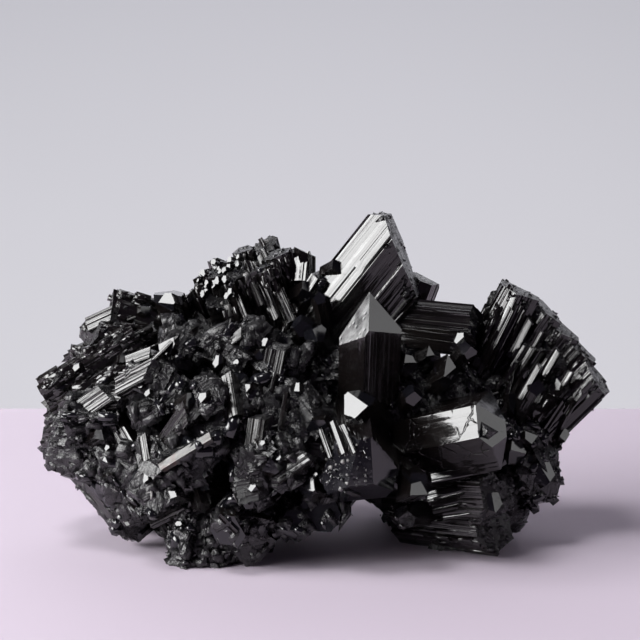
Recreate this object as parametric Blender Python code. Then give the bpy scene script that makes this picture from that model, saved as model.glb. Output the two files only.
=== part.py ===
"""A black tourmaline cluster, a hand specimen about 120 mm wide, grown together as one solid.

Each crystal is a prism that is cut to length by its own end faces. Tourmaline prisms are rounded
triangles in section, with grooves along them, and they end in three-faced pyramids or in rough,
broken ends. The massive part is made of bundles of such prisms, grown side by side. Places are in
millimetres: X to the right, Y away from the front, Z up, with the rest plane at Z = 0.
"""

import math
import random

import bmesh
import bpy
from mathutils import Matrix, Vector

MM = 0.001
CUT_TOLERANCE = 1e-4

# Driving sizes, in millimetres
TALL_WIDTH = 20.0
PYRAMID_WIDTH = 13.5
LYING_WIDTH = 16.0
FRONT_WIDTH = 17.0
OPEN_BUNDLE_WIDTH = 21.0
CORE_DEPTH = 52.0

# How tourmaline grows
PYRAMID_LEAN = 27.0
STEEP_LEAN = 46.0
SHORT_FLAT = 0.88
GROOVE_SHARE = 0.028

NODE = "tourmaline_cluster"
BLACK = (0.012, 0.012, 0.014, 1.0)


def start_empty():
    """Remove what the file holds, and make the collections for the part and for what it grows from."""
    for old in list(bpy.data.objects):
        bpy.data.objects.remove(old)
    part = bpy.data.collections.new("black_tourmaline")
    growth = bpy.data.collections.new("growth")
    for collection in (part, growth):
        bpy.context.scene.collection.children.link(collection)
    return part, growth


def schorl():
    """Black tourmaline: glossy, not metallic."""
    material = bpy.data.materials.new("black_tourmaline")
    material.use_nodes = True
    shader = material.node_tree.nodes["Principled BSDF"]
    shader.inputs["Base Color"].default_value = BLACK
    shader.inputs["Roughness"].default_value = 0.18
    shader.inputs["Metallic"].default_value = 0.0
    return material


def frame_of(axis, facing):
    """The turn that takes Z to the axis, and X to the side of it that faces a direction."""
    z = Vector(axis).normalized()
    x = Vector(facing) - z * z.dot(Vector(facing))
    x.normalize()
    return Matrix((x, z.cross(x), z)).transposed()


def corners_of(width, depth, sides, edge_on):
    """Corners of a prism's section, with every other flat a little nearer to the middle.

    The first flat faces X, or the edge beside it does where the prism is turned edge-on.
    """
    flats = []
    for number in range(sides):
        angle = 2 * math.pi * (number - (0.5 if edge_on else 0.0)) / sides
        reach = 1.0 if number % 2 == 0 else SHORT_FLAT
        flats.append((Vector((math.cos(angle), math.sin(angle))), reach))
    corners = []
    for number in range(sides):
        first, reach = flats[number]
        second, next_reach = flats[(number + 1) % sides]
        turn = first.x * second.y - first.y * second.x
        x = (reach * second.y - next_reach * first.y) / turn
        y = (next_reach * first.x - reach * second.x) / turn
        corners.append(Vector((x * width / 2, y * depth / 2)))
    return corners


def grooved(corners, grooves, depth, chance):
    """The section with shallow steps in each flat: the grooves that run along a crystal."""
    outline = []
    for number, corner in enumerate(corners):
        after = corners[(number + 1) % len(corners)]
        along = after - corner
        inward = Vector((-along.y, along.x)).normalized()
        outline.append(corner)
        for groove in range(grooves):
            middle = (groove + chance.uniform(0.35, 0.65)) / grooves
            half = chance.uniform(0.1, 0.18) / grooves
            sink = inward * depth * chance.uniform(0.5, 1.0)
            outline.append(corner + along * (middle - half))
            outline.append(corner + along * (middle - half * 0.3) + sink)
            outline.append(corner + along * (middle + half))
    return outline


def cut(shape, point, outward, tolerance=CUT_TOLERANCE):
    """Cut away what lies outside a plane, and close the cut."""
    everything = shape.verts[:] + shape.edges[:] + shape.faces[:]
    bmesh.ops.bisect_plane(
        shape, geom=everything, dist=tolerance, plane_co=point, plane_no=outward, clear_outer=True
    )
    rim = [edge for edge in shape.edges if edge.is_boundary]
    bmesh.ops.holes_fill(shape, edges=rim, sides=0)


def pyramid(lean=PYRAMID_LEAN, turn=0.0):
    """The end faces of a crystal: three that lean off its axis and meet at its tip."""
    return [(lean, turn + 120.0 * number, 0.0) for number in range(3)]


def crystal(
    growth, name, foot, tip, width, depth=None, facing=(0, -1, 0), sides=6, edge_on=False, grooves=0,
    ends=None, cuts=(),
):
    """A prism from foot to tip, cut there by end faces.

    Each end is a lean off the axis, a bearing round it from the facing side, and a distance short of
    the tip. Each cut is an end face too, given as the way it faces and that distance.
    """
    chance = random.Random(name)
    foot, tip = Vector(foot), Vector(tip)
    axis = tip - foot
    turn = frame_of(axis, facing)
    outline = corners_of(width, depth or width, sides, edge_on)
    if grooves:
        outline = grooved(outline, grooves, width * GROOVE_SHARE, chance)
    shape = bmesh.new()
    bmesh.ops.create_circle(shape, cap_ends=True, segments=len(outline), radius=width / 2)
    shape.verts.ensure_lookup_table()
    for vertex, point in zip(shape.verts, outline):
        vertex.co = (point.x, point.y, 0.0)
    grown = bmesh.ops.extrude_face_region(shape, geom=shape.faces[:])
    far_end = [item for item in grown["geom"] if isinstance(item, bmesh.types.BMVert)]
    bmesh.ops.translate(shape, verts=far_end, vec=(0.0, 0.0, axis.length + width))
    bmesh.ops.recalc_face_normals(shape, faces=shape.faces)
    for outward, short in cuts:
        outward = turn.transposed() @ Vector(outward).normalized()
        cut(shape, Vector((0.0, 0.0, axis.length)) - outward * short, outward)
    for lean, bearing, short in ends if ends is not None else pyramid():
        lean, bearing = math.radians(lean), math.radians(bearing)
        outward = (math.sin(lean) * math.cos(bearing), math.sin(lean) * math.sin(bearing), math.cos(lean))
        cut(shape, (0.0, 0.0, axis.length - short), outward)
    return keep(growth, name, shape, Matrix.Translation(foot) @ turn.to_4x4())


def block(growth, name, centre, size, along, facing=(0, -1, 0), cuts=8):
    """A rough lump of rock: a box with corners cut off it. Its sizes run the facing way, across and along."""
    chance = random.Random(name)
    shape = bmesh.new()
    bmesh.ops.create_cube(shape, size=1.0)
    bmesh.ops.scale(shape, vec=size, verts=shape.verts)
    for number in range(cuts):
        ways = [1 if number & bit else -1 for bit in (1, 2, 4)]
        outward = Vector([way * chance.uniform(0.3, 1.0) for way in ways])
        corner = Vector([side / 2 * way for side, way in zip(size, ways)])
        cut(shape, corner * chance.uniform(0.62, 0.78), outward.normalized())
    placed = Matrix.Translation(centre) @ frame_of(along, facing).to_4x4()
    return keep(growth, name, shape, placed)


def bundle(growth, name, foot, tip, width, depth, count, ragged, facing=(0, -1, 0)):
    """Prisms grown side by side: each has its own place in the bundle, thickness, length and end."""
    chance = random.Random(name)
    foot, tip = Vector(foot), Vector(tip)
    turn = frame_of(tip - foot, facing)
    length = (tip - foot).length
    usual = width / math.sqrt(count) * 1.3
    for number in range(count):
        angle = number * math.pi * (3 - math.sqrt(5))
        reach = math.sqrt((number + 0.5) / count) * 0.72
        side = Vector((math.cos(angle) * reach * depth / 2, math.sin(angle) * reach * width / 2, 0.0))
        short = chance.uniform(0.0, ragged) * length
        lean = Vector((chance.uniform(-1, 1), chance.uniform(-1, 1), 0.0)) * 0.03 * length
        end = foot + turn @ (side + lean + Vector((0.0, 0.0, length - short)))
        thick = usual * chance.uniform(0.8, 1.3)
        faces = [(chance.uniform(0, 50), chance.uniform(0, 360), 0.0) for _ in range(2)]
        facing = turn @ Vector((chance.uniform(0.4, 1), chance.uniform(-1, 1), 0))
        crystal(
            growth, f"{name}_{number}", foot + turn @ side, end, thick, thick * chance.uniform(0.6, 1.0),
            facing=facing, sides=chance.choice((4, 6)), ends=faces,
        )


def keep(growth, name, shape, placed):
    """Turn a finished shape, made in millimetres, into an object in metres."""
    bmesh.ops.transform(shape, matrix=Matrix.Scale(MM, 4) @ placed, verts=shape.verts)
    mesh = bpy.data.meshes.new(name)
    shape.to_mesh(mesh)
    shape.free()
    piece = bpy.data.objects.new(name, mesh)
    growth.objects.link(piece)
    piece.hide_render = True
    piece.display_type = "WIRE"
    return piece


def centre_crystals(growth):
    """The tall crystal with a flat end, the pyramid crystal before it, and small ones round them."""
    crystal(
        growth, "tall", (-6.6, 6, 32.8), (16.1, 4, 62.0), TALL_WIDTH * 0.95, TALL_WIDTH,
        facing=(-0.2, -1, 0.1), edge_on=True, grooves=2,
        ends=[], cuts=[((0.93, -0.08, 0.37), 0.0), ((0.05, 0.1, 1.0), -6.6)],
    )
    crystal(
        growth, "tall_rib", (-10.5, 3, 38), (0.5, 1, 56.0), 7, 5, facing=(-0.6, -0.8, 0.4), grooves=1,
        ends=[(8, 0, 0), (50, 200, -1)],
    )
    crystal(
        growth, "pyramid", (8.8, -9, 30), (9.4, -17, 55.8), PYRAMID_WIDTH, facing=(0, -1, 0), edge_on=True,
        ends=[], cuts=[((-1.5, -1.5, 1), 0), ((1.2, -1.5, 1), 0), ((1.16, 1.2, 1), 0), ((-1.55, 1.3, 1), 0)],
    )
    crystal(
        growth, "white_end", (13, -10, 25), (6.6, -26.5, 35), 6.5, facing=(1, 0, 0),
        ends=[(20, 180, 0), (55, 60, -1)],
    )
    crystal(growth, "small_left", (-3, -2, 40), (-4.5, -11, 49), 5.0, ends=pyramid(STEEP_LEAN))
    crystal(growth, "small_curved", (2, -4, 38), (-2.2, -14, 47.5), 4.6, ends=pyramid(STEEP_LEAN, 60))
    crystal(growth, "small_top", (-3.9, 4, 42), (-3.9, 6, 60.6), 4.2, grooves=1, ends=[(25, 90, 0)])
    crystal(growth, "small_top_side", (-6, 5, 42), (-7.0, 6, 57), 4, ends=[(35, 0, 0)])
    crystal(growth, "small_mid", (2, 0, 40), (-1.0, -6, 54), 3.6, ends=pyramid(STEEP_LEAN))


def right_of_centre(growth):
    """The dark crystals between the tall one and the fan, and the little pyramids below them."""
    crystal(growth, "behind_right", (16, 10, 38), (22, 12, 53.8), 6.2, ends=[(14, 0, 0), (50, 150, -1.5)])
    crystal(growth, "behind_right_tip", (15, 13, 38), (19.5, 14, 55.0), 3.2, ends=pyramid(STEEP_LEAN))
    crystal(
        growth, "level", (8, 6, 47.5), (32.0, -2, 46.6), 7.2, 8.0, facing=(0, -0.5, 1), grooves=2,
        ends=[(12, 0, 0), (45, 180, -2)],
    )
    crystal(growth, "level_low", (10, 4, 44), (29, -4, 43.0), 5, 6, facing=(0, -0.6, 1), ends=[(22, 200, 0)])
    crystal(growth, "level_back", (10, 12, 41), (31, 10, 43.5), 9, 9, facing=(0, -0.5, 1), ends=[(30, 20, 0)])
    crystal(growth, "foot_pyramid", (15, -5, 34), (17.5, -15, 41), 4.2, ends=pyramid(STEEP_LEAN, 40))
    crystal(growth, "grey_pyramid", (21, -3, 31), (26, -14.5, 38.8), 5.2, ends=pyramid(STEEP_LEAN, 10))
    crystal(growth, "glint_pyramid", (26, -2, 36), (30.5, -10, 43.2), 3.8, ends=pyramid(STEEP_LEAN, 80))
    crystal(growth, "low_pyramid", (16, -8, 28), (18.6, -19, 35.5), 4.2, ends=pyramid(STEEP_LEAN, 20))
    crystal(growth, "mid_pyramid", (21, -2, 34), (22.4, -10, 42.0), 4.2, ends=pyramid(STEEP_LEAN, 60))
    block(growth, "mid_floor", (23, 0, 31), (12, 18, 18), (1, 0, 0), facing=(0, 0, 1))


def lying_crystal(growth):
    """The large crystal that lies to the right, and the striated bundle and foot under it."""
    crystal(
        growth, "lying", (6, -1, 17.5), (38.5, -25.5, 30.0), LYING_WIDTH, 15.5,
        facing=(0.2, -0.9, 0.1), edge_on=True,
        ends=[], cuts=[((0.62, -0.25, 0.8), 1.2), ((0.85, -0.7, -0.2), 0.0), ((0.95, 0.3, -0.1), 1.5)],
    )
    crystal(
        growth, "under_lying", (15, -4, 10.5), (35.5, -21, 13.5), 11, 10, facing=(0, -0.45, 0.9), grooves=2,
        ends=[(10, 0, 0), (45, 150, -2)],
    )
    crystal(
        growth, "under_lying_low", (17, -3, 5.5), (35, -16, 6.5), 11, 10, facing=(0, -0.4, 0.9), grooves=2,
        ends=[(22, 20, 0)],
    )
    crystal(growth, "under_lying_tip", (22, -12, 8), (15.3, -23.5, 10.0), 5.0, ends=pyramid(STEEP_LEAN))
    block(growth, "right_foot", (29, -7, 5), (13, 13, 14), (0.1, 0, 1))
    bundle(growth, "right_druse", (36, 0, 14), (45, -10, 18.5), 15, 17, 7, 0.3, facing=(0, -0.3, 1))
    bundle(growth, "right_druse_low", (32, 2, 14), (42, -6, 8), 13, 14, 6, 0.25, facing=(0, -0.3, 1))


def fan(growth):
    """The right-hand fan: prisms grown side by side, their stepped ends going down to the right."""
    prisms = (
        ("fan_top", (41.5, 5, 52.6), 27, 9.2, 1.0, (0.2, -1, 0), [(8, 0, 0), (48, 200, -2.5)], 2),
        ("fan_left", (37.3, 2, 46.5), 20, 5.5, 1.0, (-0.3, -1, 0), [(30, 120, 0)], 1),
        ("fan_second", (47.2, 6, 48.4), 29, 6.5, 1.3, (0.2, -1, 0), [(12, 60, 0), (45, 0, -2)], 1),
        ("fan_third", (51.0, 6, 44.2), 28, 6.5, 1.3, (0.3, -1, 0), [(16, 10, 0), (40, 180, -2)], 1),
        ("fan_fourth", (54.6, 5, 40.0), 27, 6.8, 1.3, (0.3, -1, 0), [(10, 10, 0)], 1),
        ("fan_right", (57.6, 1, 35.2), 23, 9.6, 1.1, (0.45, -1, 0), [(16, 40, 0), (45, 190, -3)], 2),
        ("fan_mid", (45.0, 1.5, 41.5), 19, 6.5, 1.0, (0.1, -1, 0), [(20, 330, 0)], 1),
        ("fan_mid_right", (49.4, 0.5, 38.5), 20, 6.0, 1.0, (0.2, -1, 0), [(25, 30, 0)], 1),
        ("fan_low", (52.0, -1, 34.0), 19, 5.6, 1.0, (0.2, -1, 0), [(25, 30, 0)], 1),
        ("fan_back", (44.0, 14, 47.5), 27, 10.5, 1.1, (0.0, 1, 0), [(18, 90, 0)], 0),
        ("fan_back_right", (53.0, 12, 38.5), 24, 10.5, 1.1, (0.3, 1, 0), [(22, 200, 0)], 0),
    )
    for name, tip, length, width, stretch, facing, ends, grooves in prisms:
        tip = Vector(tip)
        spread = (tip.x - 41.5) * 0.012
        axis = Vector((0.46 + spread, (tip.y - 4) * 0.015, 0.86 - spread)).normalized()
        foot = tip - axis * length
        crystal(growth, name, foot, tip, width, width * stretch, facing=facing, grooves=grooves, ends=ends)
    crystal(
        growth, "fan_small", (39.5, -3, 24), (44.6, -10, 36.2), 4.6, facing=(0, -1, 0),
        ends=pyramid(STEEP_LEAN, 20),
    )
    block(growth, "fan_root", (35, 6, 24), (18, 20, 22), (0.46, 0, 0.86))
    block(growth, "fan_root_right", (43, 6, 23), (14, 16, 14), (0.46, 0, 0.86))


def front_crystal(growth):
    """The thick crystal with an etched end that points at the viewer, and what stands round it."""
    crystal(
        growth, "front", (6, 0, 27.5), (7.4, -35, 20.4), FRONT_WIDTH, 15.0, facing=(-0.1, 0, 1), grooves=2,
        ends=[(12, 0, 0), (48, 180, -1), (50, 300, -1.0), (50, 60, -2.5)],
    )
    crystal(
        growth, "front_rib", (1.5, -2, 28), (-1.0, -26, 28.0), 7, 6, facing=(0, 0, 1), grooves=1,
        ends=[(30, 180, 0)],
    )
    crystal(
        growth, "beside_front", (12, -10, 20), (20.0, -31, 17.6), 5.8, facing=(0, 0, 1),
        ends=pyramid(STEEP_LEAN, 30),
    )
    crystal(growth, "below_front", (4, -8, 14), (-1, -25, 12), 9, facing=(0, 0, 1), ends=[(20, 0, 0)])
    crystal(
        growth, "left_of_front", (-2, -10, 20), (-3.0, -30, 19), 5.2, facing=(0, 0, 1),
        ends=pyramid(STEEP_LEAN, 10),
    )
    crystal(
        growth, "knob", (-5, -12, 9), (-6, -26.5, 9), 6.5, facing=(0, 0, 1), ends=[(30, 0, 0), (40, 160, -1)],
    )
    crystal(
        growth, "knob_left", (-13, -14, 14), (-14, -30.5, 16), 5.5, facing=(0, 0, 1),
        ends=[(35, 30, 0), (40, 220, 0)],
    )


def open_bundle(growth):
    """The top-left bundle: laths round a pitted, open end, over a striated body."""
    foot, tip = Vector((-10.5, 10, 36)), Vector((-16.6, 4, 59.8))
    facing = Vector((0.2, -1, 0.1))
    rim_laths = 9
    turn = frame_of(tip - foot, facing)
    length = (tip - foot).length
    crystal(
        growth, "open_body", foot, foot + turn @ Vector((0, 0, length - 2.4)), OPEN_BUNDLE_WIDTH * 0.7, 19,
        facing=facing, grooves=2, ends=[(12, 200, 0)],
    )
    for number in range(rim_laths):
        chance = random.Random(number)
        angle = 2 * math.pi * (number + 0.3) / rim_laths
        side = Vector((math.cos(angle) * 5.6, math.sin(angle) * OPEN_BUNDLE_WIDTH * 0.36, 0.0))
        end = foot + turn @ (side + Vector((0.0, 0.0, length - chance.uniform(0, 2.2))))
        width, depth = chance.uniform(5.0, 7.0), chance.uniform(4.0, 5.5)
        crystal(
            growth, f"open_rim_{number}", foot + turn @ side, end, width, depth, facing=turn @ side,
            ends=[(chance.uniform(5, 25), chance.uniform(0, 360), 0)],
        )
    bundle(growth, "open_left", (-17, 8, 36), (-24.0, 2, 57.0), 11, 12, 5, 0.12, facing=(0, -1, 0.2))
    crystal(
        growth, "by_bundle", (-28, 4, 40), (-32.2, -4.5, 53.0), 6.2, facing=(0, -1, 0.6),
        ends=[(25, 0, 0), (30, 120, 0)],
    )


def massive_left(growth):
    """The massive left part: blocks and bundles whose fibres run their own ways, over a lumpy slope."""
    bundle(growth, "ledge", (-30, 6, 39), (-50, 1, 42.0), 13, 12, 6, 0.15, facing=(0, -0.3, 1))
    bundle(growth, "ledge_top", (-32, 9, 41), (-46.5, 6, 46.2), 12, 9, 5, 0.12, facing=(0, -0.3, 1))
    bundle(growth, "diagonal", (-36, -2, 40), (-56.5, -2, 27.5), 18, 14, 6, 0.12, facing=(0, -1, 0.2))
    bundle(growth, "diagonal_back", (-34, 14, 36), (-54, 12, 27.0), 20, 18, 5, 0.12, facing=(0, -1, 0.2))
    block(
        growth, "bright_block", (-47.0, -11.5, 29.5), (8.5, 12.5, 12), (1, -0.1, 0.05),
        facing=(0, -0.5, 0.9), cuts=2,
    )
    block(growth, "under_bright", (-48, -7, 22.0), (14, 16, 18), (1, 0.1, -0.35), facing=(0, -0.9, 0.3))
    bundle(growth, "slope", (-52, 2, 25), (-35, -12, 6.0), 16, 14, 6, 0.12, facing=(-0.5, -1, 0))
    bundle(growth, "slope_back", (-48, 12, 22), (-32, 6, 5.0), 18, 14, 4, 0.12, facing=(-0.5, -1, 0))
    block(growth, "left_end", (-52.0, 3, 25), (13, 17, 17), (0.2, 0, 1), facing=(-1, 0, 0))


def splintered_middle(growth):
    """The splintered middle of the left part, down to the bottom-left foot."""
    bundle(growth, "splinter_top", (-26, 4, 36), (-27, -14, 45.5), 13, 12, 4, 0.15, facing=(0, 0, 1))
    bundle(growth, "splinter_plate", (-17, 0, 34), (-17, -16, 46.5), 12, 12, 5, 0.15, facing=(1, 0, 0))
    bundle(growth, "splinter_upper", (-12, 2, 32), (-9.5, -20, 41), 14, 14, 5, 0.15, facing=(0, 0, 1))
    bundle(growth, "splinter_left", (-30, 0, 30), (-35, -21, 37), 14, 14, 5, 0.15, facing=(0.3, 0, 1))
    bundle(growth, "splinter_mid", (-18, -2, 28), (-21, -28.5, 33), 17, 16, 7, 0.14, facing=(0.3, 0, 1))
    bundle(growth, "splinter_right", (-6, -2, 26), (-6, -27, 31), 14, 14, 5, 0.14, facing=(-0.3, 0, 1))
    bundle(growth, "splinter_low", (-14, -2, 20), (-12, -31, 23), 16, 14, 6, 0.13, facing=(0.3, 0, 1))
    bundle(growth, "splinter_low_left", (-28, -2, 20), (-32, -29, 21), 16, 15, 6, 0.13, facing=(0.3, 0, 1))
    bundle(growth, "splinter_end", (-40, 0, 20), (-41, -20, 16), 14, 14, 5, 0.14, facing=(0.3, 0, 1))
    bundle(growth, "left_foot", (-22, -10, 20), (-25.0, -21, -6.0), 15, 13, 6, 0.04, facing=(0, -1, 0))
    bundle(growth, "left_foot_side", (-12, -10, 14), (-17.5, -28, 7.5), 12, 9, 5, 0.1, facing=(0, 0, 1))
    crystal(
        growth, "light_lath", (-34, -27, 21.5), (-21.6, -31, 29), 2.4, 1.8, facing=(0.2, -0.8, 0.6), sides=4,
    )
    crystal(
        growth, "purple_block", (-18, -18, 12), (-19.3, -32.0, 9.5), 7, facing=(0, 0, 1), grooves=1,
        ends=[(18, 90, 0)],
    )


def back(growth):
    """The side away from the viewer, grown in the same manner, with two feet under it."""
    crystal(
        growth, "back_tall", (4, 8, 28), (9, 34, 51.0), 15, 14, facing=(1, 0.3, 0), grooves=2,
        ends=pyramid(PYRAMID_LEAN, 30),
    )
    crystal(
        growth, "back_left", (-16, 8, 28), (-27, 32, 45), 13, 12, facing=(0, 0, 1), grooves=1,
        ends=pyramid(STEEP_LEAN, 15),
    )
    crystal(
        growth, "back_right", (22, 8, 22), (37, 32, 30), 14, 13, facing=(0, 0, 1), grooves=1,
        ends=pyramid(STEEP_LEAN, 45),
    )
    crystal(
        growth, "back_low", (4, 8, 20), (4, 36.5, 21), 13, 15, facing=(0, 0, 1), grooves=1,
        ends=[(10, 0, 0), (50, 120, -2)],
    )
    bundle(growth, "back_mass", (-28, 6, 24), (-38, 29, 27), 24, 22, 6, 0.18, facing=(0, 0, 1))
    bundle(growth, "back_fill", (-10, 6, 24), (-12, 32, 30), 22, 22, 6, 0.18, facing=(0, 0, 1))
    bundle(growth, "back_right_fill", (20, 6, 14), (24, 30, 15), 22, 20, 5, 0.18, facing=(0, 0, 1))
    block(growth, "back_foot_left", (-20, 18, 8), (17, 15, 20), (0.15, 0.1, 1))
    block(growth, "back_foot_right", (22, 17, 8), (17, 15, 20), (-0.1, 0.1, 1))


def core(part, material):
    """The solid heart that all crystals stand in."""
    shape = bmesh.new()
    bmesh.ops.create_icosphere(shape, subdivisions=2, radius=1.0)
    bmesh.ops.scale(shape, vec=(28.0, CORE_DEPTH / 2 * 0.85, 15.0), verts=shape.verts)
    heart = keep(part, NODE, shape, Matrix.Translation((-8.0, 2.0, 26.0)))
    heart.data.materials.append(material)
    heart.hide_render = False
    heart.display_type = "TEXTURED"
    return heart


def core_blocks(growth):
    """The rest of the heart, under the left part, the centre and the fan."""
    block(growth, "core_left", (-36, 2, 27), (24, 26, 34), (1, 0, 0.1), facing=(0, 0, 1))
    block(growth, "core_middle", (-14, 0, 27), (36, 24, 32), (1, 0, 0), facing=(0, 0, 1))
    block(growth, "core_centre", (8, 2, 28), (28, 32, 32), (1, 0, 0), facing=(0, 0, 1))
    block(growth, "core_right", (28, 4, 19), (24, 30, 34), (1, 0, 0), facing=(0, 0, 1))
    block(growth, "core_low", (-16, 0, 14), (14, 32, 38), (1, 0, 0), facing=(0, 0, 1))


def shell_of(face, waiting):
    """The faces that hang together with one face, taken out of those still waiting."""
    waiting.discard(face)
    shell = [face]
    for grown in shell:
        for edge in grown.edges:
            for neighbour in edge.link_faces:
                if neighbour in waiting:
                    waiting.discard(neighbour)
                    shell.append(neighbour)
    return shell


def fill_pockets(shape):
    """Fill each little pocket that the crystals closed off as they met, so that one outer surface is left."""
    waiting = set(shape.faces)
    shells = []
    while waiting:
        shells.append(shell_of(next(iter(waiting)), waiting))
    outer = max(shells, key=len)
    pockets = [face for shell in shells if shell is not outer for face in shell]
    bmesh.ops.delete(shape, geom=pockets, context="FACES")


def stand_over_origin(shape):
    """Move the cluster sideways, so that its box stands with its middle over the origin."""
    across = [vertex.co.x for vertex in shape.verts]
    away = [vertex.co.y for vertex in shape.verts]
    middle = Vector((max(across) + min(across), max(away) + min(away), 0.0)) / 2
    bmesh.ops.translate(shape, verts=shape.verts, vec=-middle)


def join_all(heart, growth):
    """Join every piece to the heart, and cut the whole off flat where it rests."""
    join = heart.modifiers.new("growth", "BOOLEAN")
    join.operation = "UNION"
    join.operand_type = "COLLECTION"
    join.collection = growth
    graph = bpy.context.evaluated_depsgraph_get()
    joined = bpy.data.meshes.new_from_object(heart.evaluated_get(graph))
    heart.modifiers.clear()
    shape = bmesh.new()
    shape.from_mesh(joined)
    cut(shape, (0.0, 0.0, 0.0), (0.0, 0.0, -1.0), CUT_TOLERANCE * MM)
    fill_pockets(shape)
    stand_over_origin(shape)
    shape.to_mesh(joined)
    shape.free()
    heart.data = joined


def main():
    part, growth = start_empty()
    heart = core(part, schorl())
    core_blocks(growth)
    massive_left(growth)
    splintered_middle(growth)
    open_bundle(growth)
    centre_crystals(growth)
    right_of_centre(growth)
    front_crystal(growth)
    lying_crystal(growth)
    fan(growth)
    back(growth)
    join_all(heart, growth)


main()
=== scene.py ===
# %% [markdown]
# Black tourmaline cluster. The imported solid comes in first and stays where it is: it gives the rock its
# true size and place. Everything made below is laid over it, in the same millimetres.

# %% Load the frame
import math
import random

import bmesh
import bpy
import numpy as np
from mathutils import Matrix, Vector
from mathutils.bvhtree import BVHTree


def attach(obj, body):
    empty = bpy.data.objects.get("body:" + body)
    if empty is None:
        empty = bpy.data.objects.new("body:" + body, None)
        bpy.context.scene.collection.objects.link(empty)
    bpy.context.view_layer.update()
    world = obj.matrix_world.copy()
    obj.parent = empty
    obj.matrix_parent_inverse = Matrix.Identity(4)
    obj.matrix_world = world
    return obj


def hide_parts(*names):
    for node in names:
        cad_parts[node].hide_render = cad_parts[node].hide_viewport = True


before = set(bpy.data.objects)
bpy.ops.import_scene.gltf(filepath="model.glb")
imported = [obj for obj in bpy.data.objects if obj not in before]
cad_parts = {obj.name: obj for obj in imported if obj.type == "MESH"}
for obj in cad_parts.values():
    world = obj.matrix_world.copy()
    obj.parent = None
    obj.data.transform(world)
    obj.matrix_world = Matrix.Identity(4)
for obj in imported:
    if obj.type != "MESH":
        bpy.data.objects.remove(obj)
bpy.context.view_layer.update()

NODE = "tourmaline_cluster"
BODY = "root"
MM = 0.001
GROWTH_TO_FRAME = Vector((-0.376, -1.325, 0.0))

# %% [markdown]
# The camera comes first, because it decides what has to be right. A hand specimen on a table is taken
# from a little above, with a long lens. A long lens is a small angle: the distance is five times the
# width of the rock, and the lens follows from how wide the rock is in the picture.

# %% Camera
ELEVATION = math.radians(10.0)
DISTANCE = 600 * MM
PIXELS_PER_MM = 4.76
IMAGE_SIZE = 640
SENSOR = 36.0
LOOK_AT = Vector((-0.7, 0.0, 47.0)) * MM + GROWTH_TO_FRAME * MM


def make_camera():
    """A camera in front of the rock, looking a little down at it."""
    data = bpy.data.cameras.new("camera")
    data.sensor_width = SENSOR
    data.lens = SENSOR * DISTANCE / MM * PIXELS_PER_MM / IMAGE_SIZE
    data.clip_start = 10 * MM
    camera = bpy.data.objects.new("camera", data)
    bpy.context.scene.collection.objects.link(camera)
    forward = Vector((0.0, math.cos(ELEVATION), -math.sin(ELEVATION)))
    camera.location = LOOK_AT - forward * DISTANCE
    camera.rotation_euler = forward.to_track_quat("-Z", "Y").to_euler()
    bpy.context.scene.camera = camera
    return camera


camera = make_camera()
print("lens", round(camera.data.lens, 1), "mm")

# %% [markdown]
# Black tourmaline mirrors its surroundings and has almost no colour of its own, so the light is half
# of the look. Before that come two helpers that every surface uses. Colours are written as sRGB hex,
# the way a colour picker gives them, and shaders want linear numbers, so one function turns them.

# %% Colours and nodes


def hex_to_linear(text):
    """An sRGB colour such as #c8b8d4, as the linear numbers that a shader takes."""
    channels = [int(text[place : place + 2], 16) / 255 for place in (1, 3, 5)]
    return (*[c / 12.92 if c <= 0.04045 else ((c + 0.055) / 1.055) ** 2.4 for c in channels], 1.0)


def add_node(tree, kind, settings=None, out=0, **inputs):
    """Add a node and give back one of its outputs.

    Settings are its own properties. Inputs are values, hex colours or outputs to link, by name or by
    number: i0, i1 and so on.
    """
    node = tree.nodes.new("ShaderNode" + kind)
    for name, value in (settings or {}).items():
        setattr(node, name, value)
    for name, value in inputs.items():
        numbered = name[0] == "i" and name[1:].isdigit()
        socket = node.inputs[int(name[1:]) if numbered else name.replace("_", " ")]
        if isinstance(value, bpy.types.NodeSocket):
            tree.links.new(value, socket)
        else:
            socket.default_value = hex_to_linear(value) if isinstance(value, str) else value
    return node.outputs[out]


def new_material(name):
    """An empty node material, and its tree."""
    material = bpy.data.materials.new(name)
    material.use_nodes = True
    return material, material.node_tree


COLOURS = {"data_type": "RGBA"}
PLACES = {"data_type": "VECTOR"}
ADD = {"operation": "ADD"}
TIMES = {"operation": "MULTIPLY"}
TIMES_ADD = {"operation": "MULTIPLY_ADD"}
POWER = {"operation": "POWER"}
print("white is", hex_to_linear("#ffffff"))
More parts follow.
